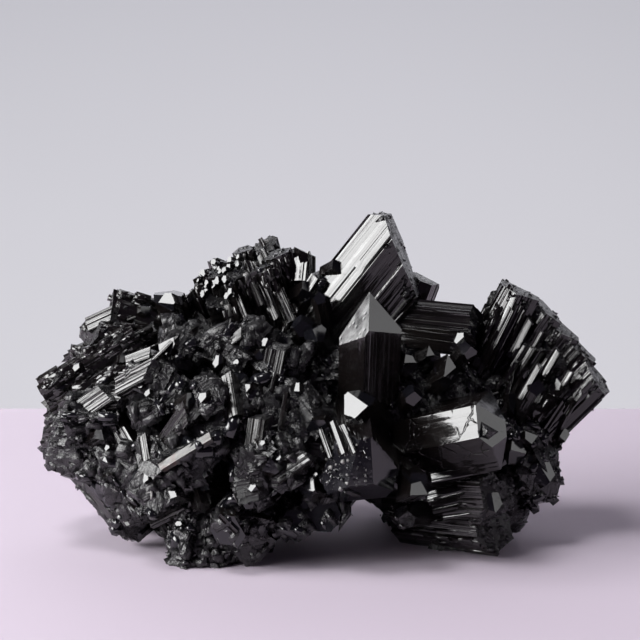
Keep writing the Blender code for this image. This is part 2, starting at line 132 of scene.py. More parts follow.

# %% [markdown]
# The floor is a pale sheet with a trace of lilac, and the faces of the rock that look down pick up its
# tint. The backdrop stands well behind it, and its colour is painted darker upwards, towards the
# horizon: painted shade that stands for the light falling off across it. Neither belongs to the
# rock, so both are handed over as stage.

# %% Floor and backdrop
FLOOR_COLOUR = "#c7bbc9"
BACKDROP_COLOUR = "#e9e9ee"
# the darker grey that paints shade onto the upper part of the backdrop
BACKDROP_PAINTED_SHADE = "#b3b3b9"
SHEETS = (
    ("floor", FLOOR_COLOUR, ((-0.9, -0.13, 0.0), (0.9, -0.13, 0.0), (0.9, 0.133, 0.0), (-0.9, 0.133, 0.0))),
    ("backdrop", BACKDROP_COLOUR, ((-3.0, 1.3, -0.8), (3.0, 1.3, -0.8), (3.0, 1.3, 1.6), (-3.0, 1.3, 1.6))),
)
for name, colour, corners in SHEETS:
    mesh = bpy.data.meshes.new(name)
    mesh.from_pydata(corners, [], [(0, 1, 2, 3)])
    sheet = bpy.data.objects.new(name, mesh)
    bpy.context.scene.collection.objects.link(sheet)
    material, tree = new_material(name)
    place = add_node(tree, "TexCoord", out="Object")
    grain = add_node(tree, "TexNoise", Vector=place, Scale=6.0, Detail=3.0)
    lighter = (*[c * 1.06 for c in hex_to_linear(colour)[:3]], 1.0)
    tone = add_node(tree, "Mix", COLOURS, out=2, i0=grain, i6=colour, i7=lighter)
    # painted shade: the backdrop's colour is mixed towards a darker grey higher up, standing for light that falls off
    # there
    if name == "backdrop":
        height = add_node(tree, "SeparateXYZ", out=2, Vector=place)
        shade = add_node(tree, "MapRange", Value=height, From_Min=-0.24, From_Max=0.03)
        tone = add_node(tree, "Mix", COLOURS, out=2, i0=shade, i6=tone, i7=BACKDROP_PAINTED_SHADE)
    shader = tree.nodes["Principled BSDF"]
    tree.links.new(tone, shader.inputs["Base Color"])
    shader.inputs["Roughness"].default_value = 0.9
    mesh.materials.append(material)
    print(name, "sheet", colour)

# %% [markdown]
# A large soft box at the left gives the white faces, a second one nearer to the camera lights the fan,
# and a small one high up gives the small glints. What is left dark in front keeps the crystals black.
# Black glass shows a light by mirroring it, so the size of a box decides how many faces turn white.

# %% Light
ROCK_MIDDLE = (0.0, 0.0, 0.04)
# name, place, aim, width and height, all in metres, and power in watts
LIGHTS = (
    ("left_box", (-0.75, -0.15, 0.36), ROCK_MIDDLE, (0.56, 0.46), 9.2),
    ("left_front_box", (-0.66, -0.47, 0.25), ROCK_MIDDLE, (0.36, 0.4), 3.1),
    ("high_box", (-0.3, -0.25, 0.95), ROCK_MIDDLE, (0.31, 0.31), 4.2),
    ("top_box", (-0.05, 0.6, 0.62), ROCK_MIDDLE, (0.85, 0.5), 0.8),
    ("right_fill", (0.8, -0.1, 0.5), ROCK_MIDDLE, (0.35, 0.35), 0.6),
    ("backdrop_light", (0.0, 0.8, 0.9), (0.0, 1.3, 0.5), (1.6, 0.3), 24.0),
)
ROOM_COLOUR = "#b9a3c9"
ROOM_STRENGTH = 0.09

for name, place, aim, size, power in LIGHTS:
    data = bpy.data.lights.new(name, "AREA")
    data.shape = "RECTANGLE"
    data.size, data.size_y = size
    data.energy = power
    light = bpy.data.objects.new(name, data)
    bpy.context.scene.collection.objects.link(light)
    light.location = place
    light.rotation_euler = (Vector(aim) - Vector(place)).to_track_quat("-Z", "Y").to_euler()
world = bpy.data.worlds.new("room")
world.use_nodes = True
room = world.node_tree.nodes["Background"]
room.inputs["Color"].default_value = hex_to_linear(ROOM_COLOUR)
room.inputs["Strength"].default_value = ROOM_STRENGTH
bpy.context.scene.world = world
bpy.context.scene.view_settings.view_transform = "Standard"
bpy.context.scene.view_settings.look = "None"
print("lights:", [name for name, *_ in LIGHTS])

# %% [markdown]
# Schorl is black tourmaline: a black glassy mineral with an index of refraction of about 1.64. It has
# no colour to show, so its finishes differ in roughness and relief. All of them use the same UVs: 10 mm
# to one unit, across the growth in U and along it in V.
#
# A grown prism face is glass-smooth but ruled along the crystal with flat bands, each with its own tilt.
# That makes the eye see a few sharp streaks of light and not one even shine. The bands are drawn about
# 0.25 mm wide at the finest, which is coarser than the real ones: those go on far below a pixel.

# %% Ruled prism faces
SCHORL_IOR = 1.64
SCHORL_BLACK = "#0d0d10"
SCHORL_BROWN = "#17120f"
UV_MM = 10.0


def ruled_bands(tree, around, per_mm, steepness):
    """Flat bands side by side along a crystal, each tilted its own way, as a height in millimetres."""
    place = add_node(tree, "Math", TIMES, i0=around, i1=per_mm * UV_MM)
    one_way = {"voronoi_dimensions": "1D"}
    band = add_node(tree, "TexVoronoi", one_way, W=place, Scale=1.0)
    number = add_node(tree, "SeparateColor", Color=band.node.outputs["Color"])
    tilt = add_node(tree, "Math", POWER, i0=number, i1=2.0)
    ridge = add_node(tree, "Math", TIMES, i0=band, i1=tilt)
    return add_node(tree, "Math", TIMES, i0=ridge, i1=steepness / per_mm)


def swaying_bands(tree, stretch, detail, sway, bands):
    """Bands of several widths along the growth, that sway a little and are added up."""
    uv = add_node(tree, "UVMap", {"uv_map": "growth"})
    slow = add_node(tree, "Mapping", Vector=uv, Scale=(*stretch, 1.0))
    drift = add_node(tree, "TexNoise", Vector=slow, Scale=1.0, Detail=detail)
    around = add_node(tree, "Math", TIMES_ADD, i0=drift, i1=sway, i2=add_node(tree, "SeparateXYZ", Vector=uv))
    total = None
    for per_mm, steepness in bands:
        more = ruled_bands(tree, around, per_mm, steepness)
        total = add_node(tree, "Math", ADD, i0=total, i1=more) if total else more
    return total


def bent_place(tree, place, scale, detail, amount):
    """A place pulled a little aside by noise, so that what is drawn there isn't straight."""
    bend = add_node(tree, "TexNoise", out="Color", Vector=place, Scale=scale, Detail=detail)
    return add_node(tree, "Mix", PLACES, out=1, i0=amount, i4=place, i5=bend)


def crack_lines(tree, place, patches):
    """Thin dark cracks between cells of some 7 mm, only where the patches allow them."""
    bent = bent_place(tree, place, 260.0, 3.0, 0.0035)
    edge = add_node(tree, "TexVoronoi", {"feature": "DISTANCE_TO_EDGE"}, Vector=bent, Scale=150.0)
    gap = add_node(tree, "MapRange", Value=edge, From_Min=0.01, From_Max=0.035, To_Min=-0.22, To_Max=0.0)
    return gap, add_node(tree, "MapRange", Value=patches, From_Min=0.46, From_Max=0.54)


def lead_to_shader(material, colour, rough, bump):
    """Lead colour, roughness and relief into the shader of a finish of schorl."""
    tree = material.node_tree
    shader = tree.nodes["Principled BSDF"]
    for name, source in (("Base Color", colour), ("Roughness", rough), ("Normal", bump)):
        tree.links.new(source, shader.inputs[name])
    shader.inputs["IOR"].default_value = SCHORL_IOR
    return material


def grown_prism_face(name, steepness, dull=0.1, cracked=False):
    """Vitreous schorl: black glass, ruled with straight bands along the crystal."""
    material, tree = new_material(name)
    bands = ((0.8, steepness), (2.1, steepness * 0.8), (4.3, steepness * 0.5))
    lines = swaying_bands(tree, (6.0, 1.6), 2.0, 0.035, bands)
    place = add_node(tree, "TexCoord", out="Object")
    patches = add_node(tree, "TexNoise", Vector=place, Scale=160.0, Detail=5.0, Roughness=0.6)
    pitted = add_node(tree, "TexNoise", Vector=place, Scale=900.0, Detail=2.0)
    height = add_node(tree, "Math", TIMES_ADD, i0=pitted, i1=0.02, i2=lines)
    if cracked:
        gap, some = crack_lines(tree, place, patches)
        height = add_node(tree, "Math", TIMES_ADD, i0=gap, i1=some, i2=height)
    bump = add_node(tree, "Bump", Strength=1.0, Distance=MM, Height=height)
    colour = add_node(tree, "Mix", COLOURS, out=2, i0=patches, i6=SCHORL_BLACK, i7=SCHORL_BROWN)
    rough = add_node(
        tree, "MapRange", Value=patches, From_Min=0.35, From_Max=0.75, To_Min=dull * 0.6, To_Max=dull * 2.2
    )
    return lead_to_shader(material, colour, rough, bump)


prism_face = grown_prism_face("vitreous_schorl_ruled_face", 0.16)
half_ruled_face = grown_prism_face("vitreous_schorl_half_ruled_face", 0.13, 0.11)
worn_face = grown_prism_face("worn_schorl_ruled_face", 0.4, 0.17)
smooth_face = grown_prism_face("vitreous_schorl_smooth_face", 0.025, 0.09)
cracked_face = grown_prism_face("vitreous_schorl_cracked_face", 0.03, 0.09, cracked=True)
print("ruled faces:", prism_face.name, half_ruled_face.name, worn_face.name, smooth_face.name, cracked_face.name)

# %% [markdown]
# An end face grew without lines. It is as glassy as a side, but has shallow pits about a millimetre
# apart and low waves, so a light that it mirrors has a soft, uneven edge.

# %% End faces
SCHORL_END = "#131318"


def grown_end_face():
    """The end faces: smoother than the sides, with shallow pits and low hillocks."""
    material, tree = new_material("vitreous_schorl_end_face")
    place = add_node(tree, "TexCoord", out="Object")
    waves = add_node(tree, "TexNoise", Vector=place, Scale=220.0, Detail=2.0)
    pits = add_node(tree, "TexVoronoi", {"feature": "F1"}, Vector=place, Scale=700.0)
    pit = add_node(tree, "MapRange", Value=pits, From_Min=0.05, From_Max=0.3, To_Max=0.2)
    height = add_node(tree, "Math", ADD, i0=waves, i1=pit)
    bump = add_node(tree, "Bump", Strength=0.25, Distance=0.2 * MM, Height=height)
    colour = add_node(tree, "Mix", COLOURS, out=2, i0=waves, i6=SCHORL_BLACK, i7=SCHORL_END)
    rough = add_node(tree, "MapRange", Value=waves, From_Min=0.3, From_Max=0.8, To_Min=0.08, To_Max=0.2)
    return lead_to_shader(material, colour, rough, bump)


end_face = grown_end_face()
print("end faces:", end_face.name)

# %% [markdown]
# Broken schorl shows its inside. It splits along the growth, so the break is a bundle of fibre bands
# with small shell-like chips across them. It shines like glass on each tiny face, looks duller as a
# whole, and holds grey rock dust in its hollows.

# %% Broken schorl
SCHORL_BROKEN = "#131214"
SCHORL_DUST = "#4c4a4d"


def broken_schorl():
    """Splintered schorl: fibres along the growth, chips across them, dust in the hollows."""
    material, tree = new_material("fractured_schorl")
    fibres = swaying_bands(tree, (9.0, 4.0), 3.0, 0.12, ((1.3, 0.75), (3.1, 0.6)))
    place = add_node(tree, "TexCoord", out="Object")
    patches = add_node(tree, "TexNoise", Vector=place, Scale=330.0, Detail=3.0)
    where = add_node(tree, "MapRange", Value=patches, From_Min=0.38, From_Max=0.58, To_Min=0.25)
    fibres = add_node(tree, "Math", TIMES, i0=fibres, i1=where)
    bent = bent_place(tree, place, 90.0, 2.0, 0.004)
    chips = add_node(tree, "TexVoronoi", {"feature": "F1", "distance": "CHEBYCHEV"}, Vector=bent, Scale=1100.0)
    scratches = add_node(tree, "TexNoise", Vector=place, Scale=1500.0, Detail=4.0, Roughness=0.7)
    grain = add_node(tree, "Math", TIMES_ADD, i0=chips, i1=0.9, i2=scratches)
    height = add_node(tree, "Math", TIMES_ADD, i0=grain, i1=0.16, i2=fibres)
    bump = add_node(tree, "Bump", Strength=0.9, Distance=MM, Height=height)
    dust = add_node(tree, "TexNoise", Vector=place, Scale=240.0, Detail=6.0, Roughness=0.7)
    dusty = add_node(tree, "MapRange", Value=dust, From_Min=0.55, From_Max=0.8, To_Max=0.5)
    colour = add_node(tree, "Mix", COLOURS, out=2, i0=dusty, i6=SCHORL_BROKEN, i7=SCHORL_DUST)
    rough = add_node(tree, "MapRange", Value=dust, From_Min=0.3, From_Max=0.75, To_Min=0.14, To_Max=0.42)
    return lead_to_shader(material, colour, rough, bump)


fractured = broken_schorl()
print("broken:", fractured.name)

# %% [markdown]
# Where schorl is splintered very fine it scatters light, so fibres and crumbs look grey and dull. The
# same finish, darker, is used for one weathered lath. Iron from the mineral has run out there and left
# rusty spots.

# %% Frayed fibres


def frayed_schorl(name, dark, light, stain=None):
    """Thin fibres and crumbs of schorl, grey along their lines, with a stain if there is one."""
    material, tree = new_material(name)
    uv = add_node(tree, "UVMap", {"uv_map": "growth"})
    fibres = add_node(tree, "Mapping", Vector=uv, Scale=(45.0, 3.0, 1.0))
    lines = add_node(tree, "TexNoise", Vector=fibres, Scale=1.0, Detail=3.0)
    place = add_node(tree, "TexCoord", out="Object")
    patches = add_node(tree, "TexNoise", Vector=place, Scale=420.0, Detail=3.0)
    blend = add_node(tree, "Math", TIMES, i0=lines, i1=patches)
    share = add_node(tree, "MapRange", Value=blend, From_Min=0.15, From_Max=0.42)
    colour = add_node(tree, "Mix", COLOURS, out=2, i0=share, i6=dark, i7=light)
    if stain:
        spots = add_node(tree, "TexNoise", Vector=place, Scale=260.0, Detail=4.0)
        stained = add_node(tree, "MapRange", Value=spots, From_Min=0.55, From_Max=0.66, To_Max=0.85)
        colour = add_node(tree, "Mix", COLOURS, out=2, i0=stained, i6=colour, i7=stain)
    bump = add_node(tree, "Bump", Strength=0.5, Distance=0.2 * MM, Height=lines)
    rough = add_node(tree, "MapRange", Value=patches, From_Min=0.3, From_Max=0.7, To_Min=0.25, To_Max=0.5)
    return lead_to_shader(material, colour, rough, bump)


frayed = frayed_schorl("frayed_schorl_fibres", "#19191b", "#a3a19f")
weathered = frayed_schorl("weathered_lath_with_iron_stain", "#151413", "#6f6c67", "#4e2a1c")
print("frayed:", frayed.name, weathered.name)

# %% [markdown]
# Every crystal is one shape: a prism whose sides are ruled with grooves and low steps, cut at its tip by
# end faces. Tourmaline is three-sided at heart, so every other side of the six stands a little nearer to
# the middle. Here are its section, and the depth of the grooves along one side.

# %% Section and grooves
SHORT_FLAT = 0.88
GROOVE_DEPTHS, GROOVE_SHARES = [0.0, 0.25, 0.6, 1.0], [0.4, 0.25, 0.2, 0.15]


def frame_of(axis, facing):
    """The turn that takes Z to the axis, and X to the side of it that faces a direction."""
    z = Vector(axis).normalized()
    x = Vector(facing) - z * z.dot(Vector(facing))
    x.normalize()
    return Matrix((x, z.cross(x), z)).transposed()


def corners_of(width, depth, sides, edge_on):
    """Corners of a prism's section, with every other flat a little nearer to the middle."""
    flats = []
    for number in range(sides):
        angle = 2 * math.pi * (number - (0.5 if edge_on else 0.0)) / sides
        flats.append((Vector((math.cos(angle), math.sin(angle))), 1.0 if number % 2 == 0 else SHORT_FLAT))
    corners = []
    for number in range(sides):
        first, reach = flats[number]
        second, next_reach = flats[(number + 1) % sides]
        turn = first.x * second.y - first.y * second.x
        x = (reach * second.y - next_reach * first.y) / turn
        y = (next_reach * first.x - reach * second.x) / turn
        corners.append(Vector((x * width / 2, y * depth / 2)))
    return corners


def groove_depths(chance, length_across, rings, relief, rib_width, spacing):
    """How deep each point of a flat is sunk, ring by ring: ribs of random width that start and stop."""
    count = max(3, int(length_across / spacing))
    depths = np.zeros((rings, count))
    place = 0
    while place < count:
        wide = max(1, int(chance.exponential(rib_width) / spacing) + 1)
        depths[:, place : place + wide] = relief * chance.choice(GROOVE_DEPTHS, p=GROOVE_SHARES)
        if chance.random() < 0.5:
            stop = chance.integers(0, rings)
            depths[stop:, place : place + wide] = relief * chance.choice([0.0, 0.3, 1.0])
        place += wide
    depths[:, 0] = 0.0
    return depths


print("corners of a section 10 mm wide:", [[round(c, 1) for c in p] for p in corners_of(10, 10, 6, False)])

# %% [markdown]
# A crystal is first only its numbers: foot, tip, width, and the planes that cut it. Later steps ask it
# how far points lie outside it, to keep splinters off its clean faces. End faces are given by how far
# they lean off the axis, their bearing round it, and how far short of the tip they cut. Crystals near
# the ground are also cut at the floor.

# %% One crystal in numbers
POINT_SPACING = 0.32
RESTS_AT = 0.02


class Crystal:
    """The size, place and end faces of one crystal, and the flat sides that bound it."""

    def __init__(
        self, name, foot, tip, width, depth=None, facing=(0, -1, 0), sides=6, edge_on=False, cuts=(), ends=(),
        relief=0.12, rib_width=0.7, spacing=POINT_SPACING,
    ):
        self.name = name
        self.foot, self.tip = Vector(foot) + GROWTH_TO_FRAME, Vector(tip) + GROWTH_TO_FRAME
        self.width, self.depth = width, depth or width
        self.length = (self.tip - self.foot).length
        self.turn = frame_of(self.tip - self.foot, facing)
        self.outline = corners_of(self.width, self.depth, sides, edge_on)
        self.relief, self.rib_width, self.spacing = relief, rib_width, spacing
        self.planes = []
        for outward, short in cuts:
            local = self.turn.transposed() @ Vector(outward).normalized()
            self.planes.append((local, Vector((0.0, 0.0, self.length)) - local * short))
        for lean, bearing, short in ends:
            lean, bearing = math.radians(lean), math.radians(bearing)
            across = math.sin(lean)
            local = Vector((across * math.cos(bearing), across * math.sin(bearing), math.cos(lean)))
            self.planes.append((local, Vector((0.0, 0.0, self.length - short))))
        if min(self.foot.z, self.tip.z) < max(self.width, self.depth):
            down = self.turn.transposed() @ Vector((0.0, 0.0, -1.0))
            self.planes.append((down, self.turn.transposed() @ Vector((0.0, 0.0, RESTS_AT - self.foot.z))))

    def flat_sides(self):
        """A corner of each flat side, and the way that side looks, in the section."""
        for number, corner in enumerate(self.outline):
            along = (self.outline[(number + 1) % len(self.outline)] - corner).normalized()
            yield np.array(corner), np.array((along.y, -along.x))

    def outside(self, points):
        """How far points (in millimetres) lie outside the crystal: negative inside it."""
        local = (points - np.array(self.foot)) @ np.array(self.turn)
        far = -local[:, 2]
        for corner, normal in self.flat_sides():
            far = np.maximum(far, (local[:, :2] - corner) @ normal)
        for normal, place in self.planes:
            far = np.maximum(far, (local - np.array(place)) @ np.array(normal))
        return far


def pyramid(lean, turn=0.0):
    """The end faces of a crystal: three that lean off its axis and meet at its tip."""
    return [(lean, turn + 120.0 * number, 0.0) for number in range(3)]


print("a pyramid's faces:", pyramid(27.0))

# %% [markdown]
# Now the mesh. It could be a cylinder with a bump map, but the outline of a tourmaline shows its
# grooves, so they are real: a tube of points is laid round the section and along the axis, each point
# sunk by the groove that it lies in. Then the end faces are cut and closed with flat polygons, which
# take the second finish.

# %% The crystal as a mesh
RINGS_APART = 4.0
CUT_TOLERANCE = 1e-5


def crystal_columns(crystal, rings, chance):
    """The points of each line along the crystal, ring by ring, and how far round it each line lies."""
    columns, around = [], []
    travelled = 0.0
    for number, corner in enumerate(crystal.outline):
        along = crystal.outline[(number + 1) % len(crystal.outline)] - corner
        inward = Vector((-along.y, along.x)).normalized()
        depths = groove_depths(chance, along.length, rings, crystal.relief, crystal.rib_width, crystal.spacing)
        for place in range(depths.shape[1]):
            share = place / depths.shape[1]
            columns.append([corner + along * share + inward * deep for deep in depths[:, place]])
            around.append(travelled + along.length * share)
        travelled += along.length
    return columns, [*around, travelled]


def crystal_shape(crystal, seed):
    """The crystal as a closed mesh in millimetres, in its own frame, with UVs of 10 mm around and along."""
    chance = np.random.default_rng(seed)
    reach = crystal.length + crystal.width
    ring_spacing = crystal.spacing * RINGS_APART
    rings = max(2, int(reach / ring_spacing))
    heights = np.linspace(0.0, reach, rings)
    heights[1:-1] += chance.uniform(-0.3, 0.3, rings - 2) * ring_spacing
    columns, around = crystal_columns(crystal, rings, chance)
    shape = bmesh.new()
    uv = shape.loops.layers.uv.new("growth")
    grid = [[shape.verts.new((*column[ring], heights[ring])) for column in columns] for ring in range(rings)]
    size = len(columns)
    for ring in range(rings - 1):
        for place in range(size):
            corners = ((place, ring), (place + 1, ring), (place + 1, ring + 1), (place, ring + 1))
            face = shape.faces.new([grid[level][column % size] for column, level in corners])
            for loop, (column, level) in zip(face.loops, corners):
                loop[uv].uv = (around[column] / UV_MM, heights[level] / UV_MM)
    shape.faces.new(list(reversed(grid[0])))
    shape.faces.new(grid[-1])
    bmesh.ops.recalc_face_normals(shape, faces=shape.faces)
    for outward, place in crystal.planes:
        everything = shape.verts[:] + shape.edges[:] + shape.faces[:]
        bmesh.ops.bisect_plane(
            shape, geom=everything, dist=CUT_TOLERANCE, plane_co=place, plane_no=outward, clear_outer=True
        )
        rim = [edge for edge in shape.edges if edge.is_boundary]
        for face in bmesh.ops.holes_fill(shape, edges=rim, sides=0)["faces"]:
            face.material_index = 1
    bmesh.ops.triangulate(shape, faces=[face for face in shape.faces if len(face.verts) > 4])
    return shape


def finish_piece(name, mesh, materials, sharp=None):
    """Give a mesh its finishes, and let it ride with the rock. Sides are smooth if sharp is an angle."""
    for material in materials:
        mesh.materials.append(material)
    if sharp:
        kinds = np.empty(len(mesh.polygons), np.int32)
        mesh.polygons.foreach_get("material_index", kinds)
        mesh.polygons.foreach_set("use_smooth", kinds == 0)
        mesh.set_sharp_from_angle(angle=math.radians(sharp))
    piece = bpy.data.objects.new(name, mesh)
    bpy.context.scene.collection.objects.link(piece)
    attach(piece, BODY)
    print(name, len(mesh.polygons), "faces")
    return piece


def make_crystals(name, crystals, seed, finishes=(prism_face, end_face)):
    """Join crystals into one piece. Each keeps its own grooves, because its number goes into the seed."""
    whole = bmesh.new()
    whole.loops.layers.uv.new("growth")
    for number, crystal in enumerate(crystals):
        shape = crystal_shape(crystal, seed * 1000 + number)
        place = Matrix.Scale(MM, 4) @ Matrix.Translation(crystal.foot) @ crystal.turn.to_4x4()
        bmesh.ops.transform(shape, matrix=place, verts=shape.verts)
        part = bpy.data.meshes.new("part")
        shape.to_mesh(part)
        shape.free()
        whole.from_mesh(part)
        bpy.data.meshes.remove(part)
    joined = bpy.data.meshes.new(name)
    whole.to_mesh(joined)
    whole.free()
    return finish_piece(name, joined, finishes, 24.0)


print("points along a side are", POINT_SPACING, "mm apart, rings", POINT_SPACING * RINGS_APART, "mm")

# %% [markdown]
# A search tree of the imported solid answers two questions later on: how far a point stands out of the
# rock, and which place on it is seen at some place in the picture.

# %% The solid as a guide


def node_mesh_copy(name):
    """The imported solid's own mesh, copied, in metres."""
    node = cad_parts[NODE]
    node = bpy.data.objects[node] if isinstance(node, str) else node
    piece = bpy.data.objects.new(name, node.data.copy())
    piece.data.materials.clear()
    piece.matrix_world = node.matrix_world
    bpy.context.scene.collection.objects.link(piece)
    return piece


solid = node_mesh_copy("solid_guide")
solid_tree = BVHTree.FromObject(solid, bpy.context.evaluated_depsgraph_get())
VIEW = Vector((0.0, math.cos(ELEVATION), -math.sin(ELEVATION)))
VIEW_UP = Vector((0.0, math.sin(ELEVATION), math.cos(ELEVATION)))


def seen_at(across, up):
    """The place on the rock, in millimetres, that is seen this far right of and above the picture's middle.

    Beside the rock it is the nearest place to the line of sight, where that passes the middle of the rock.
    """
    aim = LOOK_AT + (Vector((across, 0.0, 0.0)) + VIEW_UP * up) * MM
    hit = solid_tree.ray_cast(camera.location, (aim - camera.location).normalized())[0]
    return (hit or solid_tree.find_nearest(aim)[0]) / MM


def facing_light(light_way):
    """The way a face looks that mirrors a light towards the camera."""
    return (Vector(light_way).normalized() - VIEW).normalized()


print("nearest to the camera:", [round(c, 1) for c in seen_at(0.0, -25.0)])

# %% [markdown]
# The main crystals stand where the solid has them. The tall one leans right and ends in two flat faces
# that are seen edge-on; the one in front of it ends in a steep pyramid; the large one at the right lies
# towards the viewer.

# %% The centre crystals
TALL_WIDTH = 20.0
PYRAMID_WIDTH = 13.5
LYING_WIDTH = 16.0
LYING_FOOT, LYING_TIP = (6, -1, 17.5), (38.5, -25.5, 30.0)
FRONT_WIDTH = 17.0
STEEP_LEAN = 46.0

tall = Crystal(
    "tall", (-6.6, 6, 32.8), (16.1, 4, 62.0), TALL_WIDTH * 0.95, TALL_WIDTH, facing=(-0.2, -1, 0.1), edge_on=True,
    cuts=[((0.93, -0.08, 0.37), 0.0), ((0.05, 0.1, 1.0), -6.6)], relief=0.8, rib_width=1.5,
)
tall_rib = Crystal(
    "tall_rib", (-10.5, 3, 38), (0.5, 1, 56.0), 7, 5, facing=(-0.6, -0.8, 0.4), ends=[(8, 0, 0), (50, 200, -1)],
)
pyramid_crystal = Crystal(
    "pyramid", (8.8, -9, 30), (9.4, -17, 55.8), PYRAMID_WIDTH, facing=(0, -1, 0), edge_on=True,
    cuts=[((-1.5, -1.345, 1), 0), ((1.2, -1.5, 1), 0), ((1.16, 1.2, 1), 0), ((-1.55, 1.3, 1), 0)], relief=0.03,
)
lying = Crystal(
    "lying", LYING_FOOT, LYING_TIP, LYING_WIDTH, 15.5, facing=(0.2, -0.9, 0.1), edge_on=True,
    cuts=[
        ((0.554, -0.705, 0.443), 1.0), ((0.62, -0.25, 0.8), 0.6), ((0.85, -0.7, -0.2), 0.0), ((0.95, 0.3, -0.1), 1.5),
    ],
    relief=0.05, rib_width=1.2,
)
front = Crystal(
    "front", (6, 0, 27.5), (7.4, -35, 20.4), FRONT_WIDTH, 15.0, facing=(-0.1, 0, 1),
    ends=[(12, 0, 0), (48, 180, -1), (50, 278, -3.0), (50, 60, -2.5)], relief=0.22,
)
centre_small = [
    Crystal("white_end", (13, -10, 25), (6.6, -26.5, 35), 6.5, facing=(1, 0, 0), ends=[(20, 180, 0), (55, 60, -1)]),
    Crystal("small_left", (-3, -2, 40), (-4.5, -11, 49), 5.0, ends=pyramid(STEEP_LEAN)),
    Crystal("small_curved", (2, -4, 38), (-2.2, -14, 47.5), 4.6, ends=pyramid(STEEP_LEAN, 60)),
    Crystal("small_top", (-3.9, 4, 42), (-3.9, 6, 60.6), 4.2, ends=[(25, 90, 0)]),
    Crystal("small_top_side", (-6, 5, 42), (-7.0, 6, 57), 4, ends=[(35, 0, 0)]),
    Crystal("small_mid", (2, 0, 40), (-1.0, -6, 54), 3.6, ends=pyramid(STEEP_LEAN)),
]
make_crystals("tall_crystal", [tall, tall_rib], 1, (prism_face, fractured))
make_crystals("pyramid_crystal", [pyramid_crystal], 2, (smooth_face, end_face))
make_crystals("lying_crystal", [lying], 3, (cracked_face, end_face))
make_crystals("front_crystal", [front], 4)
make_crystals("small_centre_crystals", centre_small, 5)

# %% [markdown]
# Between the tall crystal and the fan there are two level prisms and a row of little pyramids, and
# round the front crystal stand short ones that poke out at the viewer.

# %% Small crystals right of the centre and at the front
behind_tall = [
    Crystal("behind_right", (16, 10, 38), (22, 12, 53.8), 6.2, ends=[(14, 0, 0), (50, 150, -1.5)]),
    Crystal("behind_right_tip", (15, 13, 38), (19.5, 14, 55.0), 3.2, ends=pyramid(STEEP_LEAN)),
]
right_small = [
    Crystal("level", (8, 6, 47.5), (32.0, -2, 46.6), 7.2, 8.0, facing=(0, -0.5, 1), ends=[(12, 0, 0), (45, 180, -2)]),
    Crystal("level_low", (10, 4, 44), (29, -4, 43.0), 5, 6, facing=(0, -0.6, 1), ends=[(22, 200, 0)]),
    Crystal("level_back", (10, 12, 41), (31, 10, 43.5), 9, 9, facing=(0, -0.5, 1), ends=[(30, 20, 0)]),
    Crystal("foot_pyramid", (15, -5, 34), (17.5, -15, 41), 4.2, ends=pyramid(STEEP_LEAN, 40), relief=0.03),
    Crystal("grey_pyramid", (21, -3, 31), (26, -14.5, 38.8), 5.2, ends=pyramid(STEEP_LEAN, 35), relief=0.03),
    Crystal("glint_pyramid", (26, -2, 36), (30.5, -10, 43.2), 3.8, ends=pyramid(STEEP_LEAN, 50), relief=0.03),
    Crystal("low_pyramid", (16, -8, 28), (18.6, -19, 35.5), 4.2, ends=pyramid(STEEP_LEAN, 20), relief=0.03),
    Crystal("mid_pyramid", (21, -2, 34), (22.4, -10, 42.0), 4.2, ends=pyramid(STEEP_LEAN, 60), relief=0.03),
]
front_small = [
    Crystal("front_rib", (1.5, -2, 28), (-1.0, -26, 28.0), 7, 6, facing=(0, 0, 1), ends=[(30, 180, 0)]),
    Crystal("beside_front", (12, -10, 20), (20.0, -31, 17.6), 5.8, facing=(0, 0, 1), ends=pyramid(STEEP_LEAN, 30)),
    Crystal("below_front", (4, -8, 14), (-1, -25, 12), 9, facing=(0, 0, 1), ends=[(20, 0, 0)]),
    Crystal("left_of_front", (-2, -10, 20), (-3.0, -30, 19), 5.2, facing=(0, 0, 1), ends=pyramid(STEEP_LEAN, 10)),
    Crystal("knob", (-5, -12, 9), (-6, -26.5, 9), 6.5, facing=(0, 0, 1), ends=[(30, 0, 0), (40, 160, -1)]),
    Crystal("knob_left", (-13, -14, 14), (-14, -30.5, 16), 5.5, facing=(0, 0, 1), ends=[(35, 30, 0), (40, 220, 0)]),
    Crystal("purple_block", (-18, -18, 12), (-19.3, -32.0, 9.5), 7, facing=(0, 0, 1), ends=[(18, 90, 0)]),
    Crystal("by_bundle", (-28, 4, 40), (-32.2, -4.5, 53.0), 6.2, facing=(0, -1, 0.6), ends=[(25, 0, 0), (30, 120, 0)]),
]
under = [
    Crystal(
        "under_lying", (15, -4, 10.5), (35.5, -21, 13.5), 11, 10, facing=(0, -0.45, 0.9),
        ends=[(10, 0, 0), (45, 150, -2)], relief=0.4, rib_width=0.9,
    ),
    Crystal(
        "under_lying_low", (17, -3, 5.5), (35, -16, 6.5), 11, 10, facing=(0, -0.4, 0.9), ends=[(22, 20, 0)],
        relief=0.4, rib_width=0.9,
    ),
    Crystal("under_lying_tip", (22, -12, 8), (15.3, -23.5, 10.0), 5.0, ends=pyramid(STEEP_LEAN)),
]
make_crystals("small_right_crystals", right_small, 6)
make_crystals("crystals_behind_tall_one", behind_tall, 18, (prism_face, fractured))
make_crystals("small_front_crystals", front_small, 7)
make_crystals("bundle_under_lying_crystal", under, 8, (prism_face, fractured))

# %% [markdown]
# The fan is a wall of prisms that grew side by side. Their ends go down in steps to the right, and the
# long sides carry the strongest lines of the whole rock.

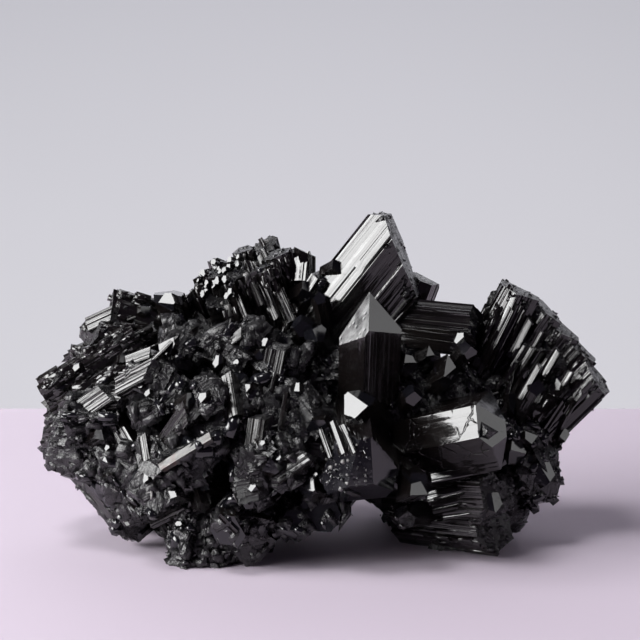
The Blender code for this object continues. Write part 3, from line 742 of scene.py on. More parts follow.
# %% The fan
FAN_PRISMS = (
    ((41.5, 5, 52.6), 27, 9.2, 1.0, (-0.47, -0.85, 0.24), [(8, 0, 0), (48, 200, -2.5)]),
    ((37.3, 2, 46.5), 20, 5.5, 1.0, (-0.3, -1, 0), [(30, 120, 0)]),
    ((47.2, 6, 48.4), 29, 6.5, 1.3, (-0.42, -0.87, 0.26), [(12, 60, 0), (45, 0, -2)]),
    ((51.0, 6, 44.2), 28, 6.5, 1.3, (-0.5, -0.84, 0.24), [(16, 10, 0), (40, 180, -2)]),
    ((54.6, 5, 40.0), 27, 6.8, 1.3, (-0.46, -0.86, 0.26), [(10, 10, 0)]),
    ((57.6, 1, 35.2), 23, 9.6, 1.1, (0.45, -1, 0), [(16, 40, 0), (45, 190, -3)]),
    ((45.0, 1.5, 41.5), 19, 6.5, 1.0, (-0.38, -0.88, 0.22), [(20, 330, 0)]),
    ((49.4, 0.5, 38.5), 20, 6.0, 1.0, (-0.44, -0.87, 0.24), [(25, 30, 0)]),
    ((52.0, -1, 34.0), 19, 5.6, 1.0, (-0.42, -0.88, 0.25), [(25, 30, 0)]),
    ((44.0, 14, 47.5), 27, 10.5, 1.1, (0.0, 1, 0), [(18, 90, 0)]),
    ((53.0, 12, 38.5), 24, 10.5, 1.1, (0.3, 1, 0), [(22, 200, 0)]),
)


def fan_axis(tip):
    """The way a prism of the fan points: they spread a little towards the right."""
    spread = (tip[0] - 41.5) * 0.012
    return Vector((0.46 + spread, (tip[1] - 4) * 0.015, 0.86 - spread)).normalized()


fan = []
for number, (tip, length, width, stretch, facing, ends) in enumerate(FAN_PRISMS):
    foot = Vector(tip) - fan_axis(tip) * length
    fan.append(
        Crystal(
            f"fan_{number}", foot, tip, width, width * stretch, facing=facing, ends=ends, relief=0.42,
            rib_width=0.8,
        )
    )
fan_small = Crystal("fan_small", (39.5, -3, 24), (44.6, -10, 36.2), 4.6, ends=pyramid(STEEP_LEAN, 20), relief=0.05)
make_crystals("fan_of_prisms", fan, 9, (prism_face, fractured))
make_crystals("fan_small_crystal", [fan_small], 10)

# %% [markdown]
# The massive left part is the same mineral with no room to grow: bundles of short prisms side by side,
# each with its own thickness, length and broken end. They are drawn with fewer points than the crystals
# that stand free.

# %% Bundles of the left part
BUNDLE_SPACING = 0.55
OPEN_BUNDLE_WIDTH = 21.0


def bundle(name, foot, tip, width, depth, count, ragged, facing=(0, -1, 0)):
    """Prisms side by side: each has its own place in the bundle, thickness, length and end."""
    chance = random.Random(name)
    foot, tip = Vector(foot), Vector(tip)
    turn = frame_of(tip - foot, facing)
    length = (tip - foot).length
    usual = width / math.sqrt(count) * 1.3
    prisms = []
    for number in range(count):
        angle = number * math.pi * (3 - math.sqrt(5))
        reach = math.sqrt((number + 0.5) / count) * 0.72
        side = Vector((math.cos(angle) * reach * depth / 2, math.sin(angle) * reach * width / 2, 0.0))
        short = chance.uniform(0.0, ragged) * length
        lean = Vector((chance.uniform(-1, 1), chance.uniform(-1, 1), 0.0)) * 0.03 * length
        end = foot + turn @ (side + lean + Vector((0.0, 0.0, length - short)))
        thick = usual * chance.uniform(0.8, 1.3)
        faces = [(chance.uniform(0, 50), chance.uniform(0, 360), 0.0) for _ in range(2)]
        facing = turn @ Vector((chance.uniform(0.4, 1), chance.uniform(-1, 1), 0))
        prisms.append(
            Crystal(
                f"{name}_{number}", foot + turn @ side, end, thick, thick * chance.uniform(0.6, 1.0), facing=facing,
                sides=chance.choice((4, 6)), ends=faces, relief=0.3, rib_width=0.8, spacing=BUNDLE_SPACING,
            )
        )
    return prisms


def open_bundle():
    """The top-left bundle: laths round a pitted, open end, over a ruled body."""
    foot, tip = Vector((-10.5, 10, 36)), Vector((-16.6, 4, 59.8))
    facing = Vector((0.2, -1, 0.1))
    rim_laths = 9
    turn = frame_of(tip - foot, facing)
    length = (tip - foot).length
    laths = []
    for number in range(rim_laths):
        chance = random.Random(number)
        angle = 2 * math.pi * (number + 0.3) / rim_laths
        side = Vector((math.cos(angle) * 5.6, math.sin(angle) * OPEN_BUNDLE_WIDTH * 0.36, 0.0))
        end = foot + turn @ (side + Vector((0.0, 0.0, length - chance.uniform(0, 2.2))))
        width, depth = chance.uniform(5.0, 7.0), chance.uniform(4.0, 5.5)
        ends = [(chance.uniform(5, 25), chance.uniform(0, 360), 0)]
        laths.append(
            Crystal(f"rim_{number}", foot + turn @ side, end, width, depth, facing=turn @ side, ends=ends, relief=0.4)
        )
    body = Crystal(
        "open_body", foot, foot + turn @ Vector((0, 0, length - 2.4)), OPEN_BUNDLE_WIDTH * 0.7, 19, facing=facing,
        ends=[(12, 200, 0)], relief=0.5, rib_width=1.0,
    )
    return body, laths


BUNDLES = (
    ("ledge", (-30, 6, 39), (-50, 1, 42.0), 13, 12, 6, 0.15, (0, -0.3, 1)),
    ("ledge_top", (-32, 9, 41), (-46.5, 6, 46.2), 12, 9, 5, 0.12, (0, -0.3, 1)),
    ("diagonal", (-36, -2, 40), (-56.5, -2, 27.5), 18, 14, 6, 0.12, (0, -1, 0.2)),
    ("diagonal_back", (-34, 14, 36), (-54, 12, 27.0), 20, 18, 5, 0.12, (0, -1, 0.2)),
    ("slope", (-52, 2, 25), (-35, -12, 6.0), 16, 14, 6, 0.12, (-0.5, -1, 0)),
    ("slope_back", (-48, 12, 22), (-32, 6, 5.0), 18, 14, 4, 0.12, (-0.5, -1, 0)),
    ("splinter_top", (-26, 4, 36), (-27, -14, 45.5), 13, 12, 4, 0.15, (0, 0, 1)),
    ("splinter_plate", (-17, 0, 34), (-17, -16, 46.5), 12, 12, 5, 0.15, (1, 0, 0)),
    ("splinter_upper", (-12, 2, 32), (-9.5, -20, 41), 14, 14, 5, 0.15, (0, 0, 1)),
    ("splinter_left", (-30, 0, 30), (-35, -21, 37), 14, 14, 5, 0.15, (0.3, 0, 1)),
    ("splinter_mid", (-18, -2, 28), (-21, -28.5, 33), 17, 16, 7, 0.14, (0.3, 0, 1)),
    ("splinter_right", (-6, -2, 26), (-6, -27, 31), 14, 14, 5, 0.14, (-0.3, 0, 1)),
    ("splinter_low", (-14, -2, 20), (-12, -31, 23), 16, 14, 6, 0.13, (0.3, 0, 1)),
    ("splinter_low_left", (-28, -2, 20), (-32, -29, 21), 16, 15, 6, 0.13, (0.3, 0, 1)),
    ("splinter_end", (-40, 0, 20), (-41, -20, 16), 14, 14, 5, 0.14, (0.3, 0, 1)),
    ("left_foot_side", (-12, -10, 14), (-17.5, -28, 7.5), 12, 9, 5, 0.1, (0, 0, 1)),
    ("open_left", (-17, 8, 36), (-24.0, 2, 57.0), 11, 12, 5, 0.12, (0, -1, 0.2)),
    ("back_mass", (-28, 6, 24), (-38, 29, 27), 24, 22, 6, 0.18, (0, 0, 1)),
    ("back_fill", (-10, 6, 24), (-12, 32, 30), 22, 22, 6, 0.18, (0, 0, 1)),
    ("back_right_fill", (20, 6, 14), (24, 30, 15), 22, 20, 5, 0.18, (0, 0, 1)),
    ("right_druse", (36, 0, 14), (45, -10, 18.5), 15, 17, 7, 0.3, (0, -0.3, 1)),
    ("right_druse_low", (32, 2, 14), (42, -6, 8), 13, 14, 6, 0.25, (0, -0.3, 1)),
)
bundled = [prism for name, foot, tip, *rest in BUNDLES for prism in bundle(name, foot, tip, *rest)]
open_body, open_rim = open_bundle()
make_crystals("open_ended_bundle", [open_body, *open_rim], 12, (prism_face, fractured))
make_crystals("bundled_prisms", bundled, 13, (prism_face, fractured))

# %% [markdown]
# Here and there a small flat face is turned so that it mirrors the light at the left straight at the
# viewer. These faces are what makes the rock glitter, so each stands where the real one does: its place
# is given as seen, in millimetres right of and above the middle of the picture. The top of the open
# bundle glitters with many tiny ones, which are scattered.

# %% Glinting faces
BOX_WAY = (-0.86, -0.2, 0.42)
HIGH_WAY = (-0.32, -0.23, 0.92)
FRONT_WAY = (-0.79, -0.56, 0.25)
DIM_WAY = (0.84, -0.1, 0.5)
GLINT_SPREAD = 0.5
STUB_LENGTH, STUB_OUT = 5.0, 1.2
SPARKLES, SPARKLE_TILT = 26, 11.0
# across, up, width, height, tilt off the mirror direction in degrees
GLINTS = (
    (-31.5, 3.6, 3.4, 3.2, 3.0), (-25.5, -10.9, 3.6, 3.8, 3.0), (-34.9, -1.5, 1.4, 1.6, 2.0),
    (-31.5, -5.0, 3.4, 5.0, 1.0), (-24.0, -16.0, 1.6, 2.4, 9.0), (-21.0, -9.0, 1.5, 2.2, 12.0),
    (-37.0, -13.9, 1.0, 1.2, 2.0), (-35.6, -15.5, 1.1, 1.3, 4.0), (-36.0, -33.5, 1.3, 1.6, 1.0),
    (-2.2, -35.3, 3.4, 3.8, 6.0), (-4.2, -14.8, 1.1, 2.4, 1.0), (-5.5, -23.5, 1.0, 1.2, 0.0),
    (-11.4, -26.0, 1.0, 1.0, 0.0), (-23.5, -32.7, 1.0, 1.2, 0.0), (-24.0, -35.6, 3.2, 1.0, 3.0),
    (-31.0, -37.0, 3.0, 1.5, 3.0), (-6.9, -4.8, 2.8, 1.9, 2.0), (-10.9, -5.0, 1.8, 1.6, 2.0),
    (29.9, -4.2, 1.9, 2.2, 0.0), (-14.6, -14.2, 1.2, 2.0, 4.0), (-20.0, -21.0, 1.0, 1.0, 3.0),
    (-8.0, -29.0, 1.0, 1.4, 3.0), (-17.0, -9.0, 1.2, 1.0, 4.0), (-28.0, -23.0, 1.0, 1.0, 3.0),
    (38.8, -30.0, 1.4, 1.8, 3.0), (42.5, -35.0, 1.2, 1.5, 4.0), (39.4, -31.8, 1.2, 1.6, 3.0),
    (44.6, -29.5, 1.4, 1.2, 4.0), (-13.5, -35.5, 1.6, 1.2, 3.0), (-40.0, -20.5, 1.6, 1.4, 3.0),
    (-50.5, -10.0, 1.4, 1.6, 4.0), (-19.5, -31.5, 1.0, 1.6, 3.0), (47.6, -6.0, 1.2, 2.6, 3.0),
    (50.6, -13.5, 1.2, 3.0, 4.0), (45.2, -18.8, 1.2, 2.4, 4.0), (-44.0, -27.0, 1.0, 1.2, 4.0),
    (-29.0, -43.0, 1.4, 1.0, 3.0), (6.0, -36.0, 1.0, 0.9, 4.0),
)
# across, up, width, height, corners: these mirror the dim right side and stay grey
GREY_FACES = (
    (40.9, -27.6, 3.4, 4.8, 6), (46.8, -32.4, 3.4, 4.0, 5), (18.1, -8.2, 3.2, 4.0, 3), (26.9, -10.6, 4.6, 5.6, 3),
    (22.5, -7.4, 2.6, 3.0, 3), (19.7, -34.9, 4.4, 7.2, 3), (36.0, -38.5, 3.0, 3.4, 5), (43.5, -24.5, 2.6, 3.0, 5),
    (-16.8, -13.5, 3.4, 5.0, 6), (-9.8, -30.5, 3.6, 3.0, 5), (-37.2, 2.0, 2.4, 2.2, 5), (3.2, 11.0, 3.0, 2.4, 5),
    (-41.0, -8.5, 3.4, 2.4, 5), (-27.5, -17.5, 2.6, 3.2, 5), (-12.5, -7.5, 2.6, 2.0, 6), (40.0, -18.0, 2.4, 4.0, 5),
    (-3.2, 6.0, 3.0, 3.2, 5), (50.5, -24.0, 2.4, 3.0, 5), (-46.0, -24.0, 3.0, 2.6, 5), (-22.0, -38.5, 3.2, 2.6, 6),
)


def near_mirror(light, tilt, spread, chance):
    """The way a face looks that mirrors a light, but for a random tilt of up to so many degrees."""
    loose = Vector([chance.uniform(-1, 1) for _ in range(3)])
    return (facing_light(light) + loose * math.tan(math.radians(tilt)) * spread).normalized()


def glinting_face(number, across, up, width, height, tilt, light=BOX_WAY, sides=0):
    """A stub of a crystal whose flat end mirrors a light. With three sides it is a triangle, point up."""
    chance = random.Random(number)
    way = near_mirror(light, tilt, GLINT_SPREAD, chance)
    end = seen_at(across, up) - GROWTH_TO_FRAME + way * STUB_OUT
    grow, facing = (0.62, -VIEW_UP) if sides == 3 else (1.15, VIEW_UP)
    return Crystal(
        f"glint_{number}", end - way * STUB_LENGTH, end, height * grow, width * grow, facing=facing,
        sides=sides or chance.choice((5, 6)),
        ends=[(2, chance.uniform(0, 360), 0), (50, chance.uniform(0, 360), -0.5)], relief=0.08, spacing=0.3,
    )


glints = [glinting_face(number, *glint) for number, glint in enumerate(GLINTS)]
for number, (across, up, width, height, corners) in enumerate(GREY_FACES):
    glints.append(glinting_face(number + 60, across, up, width, height, 4.0, DIM_WAY, corners))
sparkle = random.Random(90)
for number in range(SPARKLES):
    across, up, size = sparkle.uniform(-26.0, -16.5), sparkle.uniform(4.5, 13.0), sparkle.uniform(0.5, 1.2)
    glints.append(glinting_face(number + 90, across, up, size, size * 1.3, SPARKLE_TILT))
make_crystals("glinting_faces", glints, 14)

# %% [markdown]
# Larger blocks have a whole ruled side that mirrors a light, and show it as a row of streaks. A slab
# gets its slope as seen. How far it leans towards the viewer then follows from the mirror, because the
# way it points has to be square to the way its side looks.

# %% Bright slabs
SIDE_SPREAD = 0.6
# across and up of the middle, slope as seen in degrees, length, width, tilt off the mirror direction
LEFT_SLABS = (
    (-47.6, -17.4, 34.0, 7.5, 5.6, 6), (-44.0, -17.2, 8.0, 5.0, 4.6, 9), (-46.0, 0.0, 24.0, 6.0, 3.6, 12),
    (-31.5, -41.0, 28.0, 8.5, 2.2, 8), (-18.0, -4.5, 40.0, 5.0, 2.4, 12), (-10.0, -14.0, 78.0, 6.0, 2.2, 11),
    (-26.5, 0.0, 60.0, 4.0, 3.0, 12), (-38.0, -8.0, 20.0, 5.0, 2.6, 13), (-14.0, -20.0, 65.0, 4.5, 2.0, 12),
    (-22.5, -26.5, 70.0, 4.0, 2.2, 12), (-36.5, -27.0, 100.0, 5.0, 2.2, 12),
    (-9.8, -10.0, 78.0, 9.0, 5.0, 24), (-13.4, -25.0, 82.0, 9.0, 4.6, 22),
    (-39.0, -12.5, 28.0, 8.0, 4.6, 24), (-30.0, -22.5, 55.0, 8.0, 4.4, 24), (-41.5, -24.0, 122.0, 8.0, 4.4, 22),
    (-26.0, -36.0, 110.0, 7.0, 4.2, 24), (-19.0, -16.5, 100.0, 8.0, 4.6, 24), (-6.0, -31.0, 35.0, 7.0, 4.0, 24),
)
FRONT_SLABS = (
    (2.2, -24.2, 108.0, 7.0, 1.4, 5), (4.3, -24.6, 110.0, 7.0, 1.6, 6), (6.3, -25.2, 114.0, 6.0, 1.3, 6),
    (8.3, -26.2, 118.0, 5.0, 1.4, 7), (0.6, -25.4, 105.0, 5.0, 1.2, 7),
)
BUNDLE_SLABS = (
    (-9.0, 6.8, 114.0, 16.0, 2.4, 10), (-11.2, 6.2, 113.0, 13.0, 1.6, 14), (-7.4, 4.6, 115.0, 12.0, 1.2, 9),
    (-13.8, 7.6, 112.0, 10.0, 1.4, 11), (-16.6, 4.0, 112.0, 9.0, 1.2, 12),
)
TOP_SLABS = ((-4.2, 10.6, 84.0, 5.6, 4.2, 2),)
FAN_SLABS = (
    (37.5, -3.5, 64.0, 13.0, 1.7, 3), (40.0, -1.5, 63.0, 10.0, 1.2, 5), (42.2, -4.0, 63.0, 9.0, 2.0, 4),
    (45.0, -5.5, 61.0, 7.0, 1.3, 5), (34.8, -8.5, 65.0, 6.0, 1.2, 6), (48.6, -9.0, 60.0, 6.0, 2.0, 3),
    (51.0, -13.6, 59.0, 6.0, 1.9, 3), (47.0, -18.4, 59.0, 6.5, 1.8, 4), (44.2, -13.0, 61.0, 8.0, 1.5, 5),
    (53.5, -17.5, 57.0, 6.0, 1.3, 6), (49.5, -20.5, 57.0, 7.0, 1.1, 6), (40.2, -11.5, 62.0, 6.0, 1.1, 6),
)
LOW_SLABS = (
    (29.6, -32.4, 11.0, 12.0, 2.2, 2), (28.6, -36.2, 14.0, 12.0, 2.6, 2), (28.4, -38.9, 13.0, 9.5, 1.8, 2),
    (26.5, -34.2, 11.0, 8.0, 1.2, 3), (25.5, -42.0, 8.0, 12.0, 1.6, 4), (30.5, -40.9, 9.0, 9.0, 1.2, 4),
)


def bright_slab(number, across, up, slope, length, width, tilt, light):
    """A block whose ruled side mirrors a light: its slope is as seen, its depth follows from the mirror."""
    chance = random.Random(number + 300)
    way = near_mirror(light, tilt, SIDE_SPREAD, chance)
    slope = math.radians(slope)
    seen = Vector((math.cos(slope), 0.0, 0.0)) + VIEW_UP * math.sin(slope)
    axis = (seen - VIEW * (seen.dot(way) / VIEW.dot(way))).normalized()
    middle = seen_at(across, up) - GROWTH_TO_FRAME + way * (0.9 - width * 0.3)
    reach = axis * length / 2 / max(0.5, (axis - VIEW * axis.dot(VIEW)).length)
    ends = [(chance.uniform(15, 45), chance.uniform(0, 360), 0), (chance.uniform(15, 50), chance.uniform(0, 360), -1)]
    return Crystal(
        f"slab_{number}", middle - reach, middle + reach, width * 0.6, width, facing=way, sides=4, spacing=0.25,
        ends=ends, relief=0.25, rib_width=0.6,
    )


def bright_slabs(first, slabs, light=BOX_WAY):
    """A table of slabs that mirror the same light. The first number gives each its own random draws."""
    return [bright_slab(first + number, *slab, light) for number, slab in enumerate(slabs)]


left_slabs = bright_slabs(0, LEFT_SLABS) + bright_slabs(80, BUNDLE_SLABS)
front_slabs = bright_slabs(20, FRONT_SLABS) + bright_slabs(40, LOW_SLABS, HIGH_WAY)
front_slabs += bright_slabs(60, FAN_SLABS, FRONT_WAY) + bright_slabs(100, TOP_SLABS, HIGH_WAY)
make_crystals("worn_slabs_on_the_left", left_slabs, 17, (worn_face, fractured))
make_crystals("bright_slabs_in_front", front_slabs, 19, (half_ruled_face, fractured))

# %% [markdown]
# Some ribs catch the same light along their whole length. Each is a thin four-sided prism on the
# surface, turned about its own length until one side mirrors the light as well as that length allows.

# %% Bright ribs
# across and up of both ends, width, tilt off the mirror direction in degrees
RIBS = (
    (34.5, -10.1, 41.0, 4.6, 1.7, 3), (38.9, -6.3, 42.9, 1.7, 1.3, 4),
    (41.0, -8.4, 44.7, 0.4, 1.0, 5), (47.3, -13.0, 49.6, -6.7, 1.7, 2), (49.6, -16.4, 52.1, -11.8, 1.5, 3),
    (45.4, -21.0, 48.3, -16.8, 1.4, 3), (43.1, -16.8, 46.2, -10.9, 1.3, 6), (50.4, -23.1, 53.6, -16.8, 1.1, 6),
    (34.5, -7.6, 37.4, -2.1, 1.3, 5), (38.5, -20.0, 42.5, -12.5, 1.1, 6), (-8.0, 7.8, -12.2, 16.8, 1.1, 7),
    (-15.5, 4.2, -18.5, 12.2, 0.9, 7), (-12.2, 4.2, -14.7, 12.2, 0.9, 8),
    (2.1, -21.0, 4.8, -28.4, 1.0, 3), (3.8, -22.1, 6.7, -27.7, 1.2, 4),
    (6.3, -22.7, 8.8, -27.3, 1.0, 5), (0.4, -23.1, 2.5, -29.0, 1.0, 5), (-6.7, -15.5, -8.2, -23.1, 1.1, 3),
    (20.6, 2.1, 32.4, 0.8, 0.9, 9), (19.7, -0.4, 31.5, -1.7, 0.8, 9),
    (-21.0, -41.0, -17.5, -44.5, 1.1, 9),
    (-27.0, -3.0, -22.0, 0.5, 1.2, 9), (-35.0, -9.0, -30.0, -4.0, 1.0, 9), (-15.0, -21.0, -12.5, -27.0, 1.0, 8),
)


def bright_rib(number, across, up, far_across, far_up, width, tilt):
    """A thin prism from one seen place to another, with a side turned to the light."""
    chance = random.Random(number + 100)
    near, far = seen_at(across, up), seen_at(far_across, far_up)
    axis = (far - near).normalized()
    way = near_mirror(BOX_WAY, tilt, SIDE_SPREAD, chance)
    side = (way - axis * axis.dot(way)).normalized()
    sunk = side * (0.75 - width * 0.45) - GROWTH_TO_FRAME
    return Crystal(
        f"rib_{number}", near + sunk, far + sunk, width * 0.9, width, facing=side, sides=4, spacing=0.22,
        ends=[(chance.uniform(5, 40), chance.uniform(0, 360), 0)], relief=0.07, rib_width=0.4,
    )


ribs = [bright_rib(number, *rib) for number, rib in enumerate(RIBS)]
make_crystals("bright_ribs", ribs, 15)

# %% [markdown]
# One loose-looking lath lies across the splintered middle. It is weathered to a light grey along its
# fibres, with a rusty spot where iron came out.

# %% The weathered lath
weathered_lath = bright_rib(50, -33.4, -31.1, -22.9, -24.6, 1.8, 4)
make_crystals("weathered_lath", [weathered_lath], 16, (weathered, weathered))

# %% [markdown]
# The side away from the viewer is guessed. It has a few stout crystals of the same habit.

# %% The back crystals
PYRAMID_LEAN = 27.0
back_crystals = [
    Crystal("back_tall", (4, 8, 28), (9, 34, 51.0), 15, 14, facing=(1, 0.3, 0), ends=pyramid(PYRAMID_LEAN, 30)),
    Crystal("back_left", (-16, 8, 28), (-27, 32, 45), 13, 12, facing=(0, 0, 1), ends=pyramid(STEEP_LEAN, 15)),
    Crystal("back_right", (22, 8, 22), (37, 32, 30), 14, 13, facing=(0, 0, 1), ends=pyramid(STEEP_LEAN, 45)),
    Crystal("back_low", (4, 8, 20), (4, 36.5, 21), 13, 15, facing=(0, 0, 1), ends=[(10, 0, 0), (50, 120, -2)]),
]
make_crystals("back_crystals", back_crystals, 11)

# %% [markdown]
# The rock between them is broken tourmaline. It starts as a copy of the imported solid, turned into an
# even net of small squares. Each point is then moved along its normal by the facet of breakage it
# belongs to: a cell that is stretched along the fibres there and has its own tilt.

# %% Which way the fibres run
GROWTH_LINES = (
    ("ledge", (-30, 6, 39), (-50, 1, 42), 7),
    ("ledge", (-32, 9, 41), (-46.5, 6, 46.2), 6),
    ("diagonal", (-36, -2, 40), (-56.5, -2, 27.5), 9),
    ("diagonal", (-34, 14, 36), (-54, 12, 27), 10),
    ("plate", (-42, -11.5, 29.0), (-53, -11.5, 29.5), 7),
    ("slope", (-52, 2, 25), (-35, -12, 6), 8),
    ("slope", (-48, 12, 22), (-32, 6, 5), 9),
    ("splinter", (-26, 4, 36), (-27, -14, 45.5), 7),
    ("splinter", (-17, 0, 34), (-17, -16, 46.5), 6),
    ("splinter", (-12, 2, 32), (-9.5, -20, 41), 7),
    ("splinter", (-30, 0, 30), (-35, -21, 37), 7),
    ("splinter", (-18, -2, 28), (-21, -28.5, 33), 8),
    ("splinter", (-6, -2, 26), (-6, -27, 31), 7),
    ("splinter", (-14, -2, 20), (-12, -31, 23), 8),
    ("splinter", (-28, -2, 20), (-32, -29, 21), 8),
    ("splinter", (-40, 0, 20), (-41, -20, 16), 7),
    ("foot", (-22, -10, 20), (-25, -21, -4), 7),
    ("bundle", (-10.5, 10, 36), (-16.6, 4, 59.8), 10.5),
    ("bundle", (-17, 8, 36), (-24, 2, 57), 6),
    ("fan", (30, 5, 26), (41.5, 5, 52.6), 6),
    ("fan", (36, 5, 22), (50, 5, 45), 7),
    ("fan", (42, 4, 16), (57.6, 1, 35.2), 7),
    ("druse", (33, 0, 14), (45, -10, 18.5), 8),
    ("druse", (32, 2, 14), (42, -6, 8), 7),
    ("druse", (14, -6, 30), (28, -8, 36), 7),
    ("druse", (-4, -4, 40), (2, -6, 46), 6),
    ("under", (15, -4, 9), (35, -18, 10), 7),
    ("back", (-28, 6, 24), (-38, 29, 27), 12),
    ("back", (-10, 6, 24), (-12, 32, 30), 11),
    ("back", (20, 6, 14), (24, 30, 15), 11),
)
LINE_KINDS = [line[0] for line in GROWTH_LINES]
LINE_FEET = np.array([line[1] for line in GROWTH_LINES], float) + np.array(GROWTH_TO_FRAME)
LINE_TIPS = np.array([line[2] for line in GROWTH_LINES], float) + np.array(GROWTH_TO_FRAME)
LINE_RADII = np.array([line[3] for line in GROWTH_LINES], float)
WILD_KINDS = {"splinter", "druse", "foot"}
WILD_CELL = 7.0


def noise_numbers(cells, salt, count=1):
    """Numbers between 0 and 1 that depend only on whole-number cells and a salt."""
    mixed = np.full(len(cells), salt * 2654435761 % 4294967296, dtype=np.uint64)
    for column, prime in zip(range(cells.shape[1]), (73856093, 19349663, 83492791, 49979687)):
        mixed ^= (cells[:, column].astype(np.int64) * prime).astype(np.uint64) & np.uint64(0xFFFFFFFF)
        mixed = (mixed * np.uint64(2246822519) + np.uint64(3266489917)) & np.uint64(0xFFFFFFFF)
        mixed ^= mixed >> np.uint64(15)
    numbers = []
    for _ in range(count):
        mixed = (mixed * np.uint64(1664525) + np.uint64(1013904223)) & np.uint64(0xFFFFFFFF)
        mixed ^= mixed >> np.uint64(13)
        numbers.append((mixed & np.uint64(0xFFFFFF)).astype(float) / 0xFFFFFF)
    return np.stack(numbers, axis=1)


def unit(vectors):
    """Vectors brought to a length of one."""
    return vectors / np.maximum(np.linalg.norm(vectors, axis=1, keepdims=True), 1e-9)


def fibres_at(points):
    """The nearest growth line of each point, and the way its fibres run there."""
    along = LINE_TIPS - LINE_FEET
    share = np.einsum("pld,ld->pl", points[:, None, :] - LINE_FEET, along) / (along**2).sum(1)
    near = LINE_FEET + np.clip(share, 0, 1)[..., None] * along
    far = np.linalg.norm(points[:, None, :] - near, axis=2) - LINE_RADII
    line = far.argmin(axis=1)
    direction = unit(along[line])
    wild = np.array([kind in WILD_KINDS for kind in LINE_KINDS])[line]
    cells = np.floor(points / WILD_CELL + noise_numbers(line[:, None], 5, 3)).astype(np.int64)
    loose = unit(noise_numbers(cells, 11, 3) - 0.5)
    direction[wild] = loose[wild]
    return line, direction


print("growth lines:", len(GROWTH_LINES))

# %% [markdown]
# Breakage is drawn twice: large facets of two to six millimetres, and small ones on top of them. A few
# cells are sunk deep, because the splintered middle has holes between its crystals.

# %% The rock between the crystals
NET_SPACING = 0.72
CLEARANCE = 1.1
DEEP_CELLS, DEEP_STEP = 0.07, 1.6


def facet_steps(points, line, direction, along, across, salt):
    """How far each point of broken rock stands out, in units of one: its facet's tilt, and its step."""
    run = (points * direction).sum(1, keepdims=True)
    stretched = (points + direction * run * (across / along - 1.0)) / across
    base = np.floor(stretched).astype(np.int64)
    best = np.full(len(points), 1e9)
    height = np.zeros(len(points))
    for shift in np.ndindex(3, 3, 3):
        cell = np.concatenate([base + np.array(shift) - 1, line[:, None]], axis=1)
        numbers = noise_numbers(cell, salt, 7)
        offset = stretched - (cell[:, :3] + numbers[:, :3])
        distance = (offset**2).sum(1)
        nearer = distance < best
        best[nearer] = distance[nearer]
        tilt = (offset * (numbers[:, 3:6] - 0.5)).sum(1) * 2.2
        step = numbers[:, 6] - 0.5 - DEEP_STEP * (numbers[:, 6] < DEEP_CELLS)
        height[nearer] = (tilt + step)[nearer]
    return height

def numbers_of(items, what, width=1, kind=float):
    """One property of all items of a mesh, such as their normals: a row of numbers for each item."""
    flat = np.empty(len(items) * width, kind)
    items.foreach_get(what, flat)
    return flat.reshape(-1, width) if width > 1 else flat


def coordinates_of(mesh):
    """The points of a mesh, in millimetres."""
    return numbers_of(mesh.vertices, "co", 3) / MM


ROUGH_FRONT = {"below_front", "left_of_front", "knob", "knob_left", "purple_block"}
lying_whole = Crystal(
    "lying_whole", LYING_FOOT, LYING_TIP, LYING_WIDTH, 15.5, facing=(0.2, -0.9, 0.1), edge_on=True,
    cuts=[((0.62, -0.25, 0.8), 1.0), ((0.85, -0.7, -0.2), -0.2), ((0.95, 0.3, -0.1), 1.3)],
)
# splinters keep off the bare crystals, but grow over the overgrown ones
BARE = [tall, pyramid_crystal, lying_whole, front, *centre_small, *right_small, fan_small, *back_crystals]
BARE += [*glints, *ribs, *left_slabs[:2], *front_slabs, weathered_lath]
BARE += [crystal for crystal in front_small if crystal.name not in ROUGH_FRONT]
OVERGROWN = [*left_slabs[2:], tall_rib, *behind_tall, *under, *fan, open_body, *open_rim, *bundled]
OVERGROWN += [crystal for crystal in front_small if crystal.name in ROUGH_FRONT]


def outside_all(crystals, points):
    """How far points lie outside all of some crystals."""
    return np.minimum.reduce([crystal.outside(points) for crystal in crystals])


def lay_fibres(mesh):
    """Give each face UVs that run along the fibres of its place."""
    points = coordinates_of(mesh)
    corners = numbers_of(mesh.loops, "vertex_index", kind=np.int32)
    sizes = numbers_of(mesh.polygons, "loop_total", kind=np.int32)
    _, direction = fibres_at(numbers_of(mesh.polygons, "center", 3) / MM)
    side = unit(np.cross(direction, numbers_of(mesh.polygons, "normal", 3)))
    face = np.repeat(np.arange(len(sizes)), sizes)
    around, along = ((points[corners] * way[face]).sum(1) / UV_MM for way in (side, direction))
    mesh.uv_layers.new(name="growth").data.foreach_set("uv", np.stack([around, along], axis=1).ravel())


def make_rock():
    """The broken rock, a little smaller than the solid wherever a crystal of its own covers it."""
    piece = node_mesh_copy("broken_rock")
    remesh = piece.modifiers.new("net", "REMESH")
    remesh.mode = "VOXEL"
    remesh.voxel_size = NET_SPACING * MM
    graph = bpy.context.evaluated_depsgraph_get()
    mesh = bpy.data.meshes.new_from_object(piece.evaluated_get(graph))
    bpy.data.objects.remove(piece)
    points, normals = coordinates_of(mesh), numbers_of(mesh.vertices, "normal", 3)
    line, direction = fibres_at(points)
    large = facet_steps(points, line, direction, 5.5, 2.4, 3)
    small = facet_steps(points, line, direction, 2.2, 1.1, 4)
    moved = points + normals * (0.75 * large + 0.3 * small - 0.25)[:, None]
    covered = outside_all([*BARE, *OVERGROWN], points) < 0.5
    moved[covered] = points[covered] - normals[covered] * CLEARANCE
    moved[:, 2] = np.maximum(moved[:, 2], 0.0)
    mesh.vertices.foreach_set("co", (moved * MM).ravel())
    mesh.update()
    lay_fibres(mesh)
    return finish_piece("broken_rock", mesh, (fractured,), 28.0)


rock = make_rock()
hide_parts(NODE)

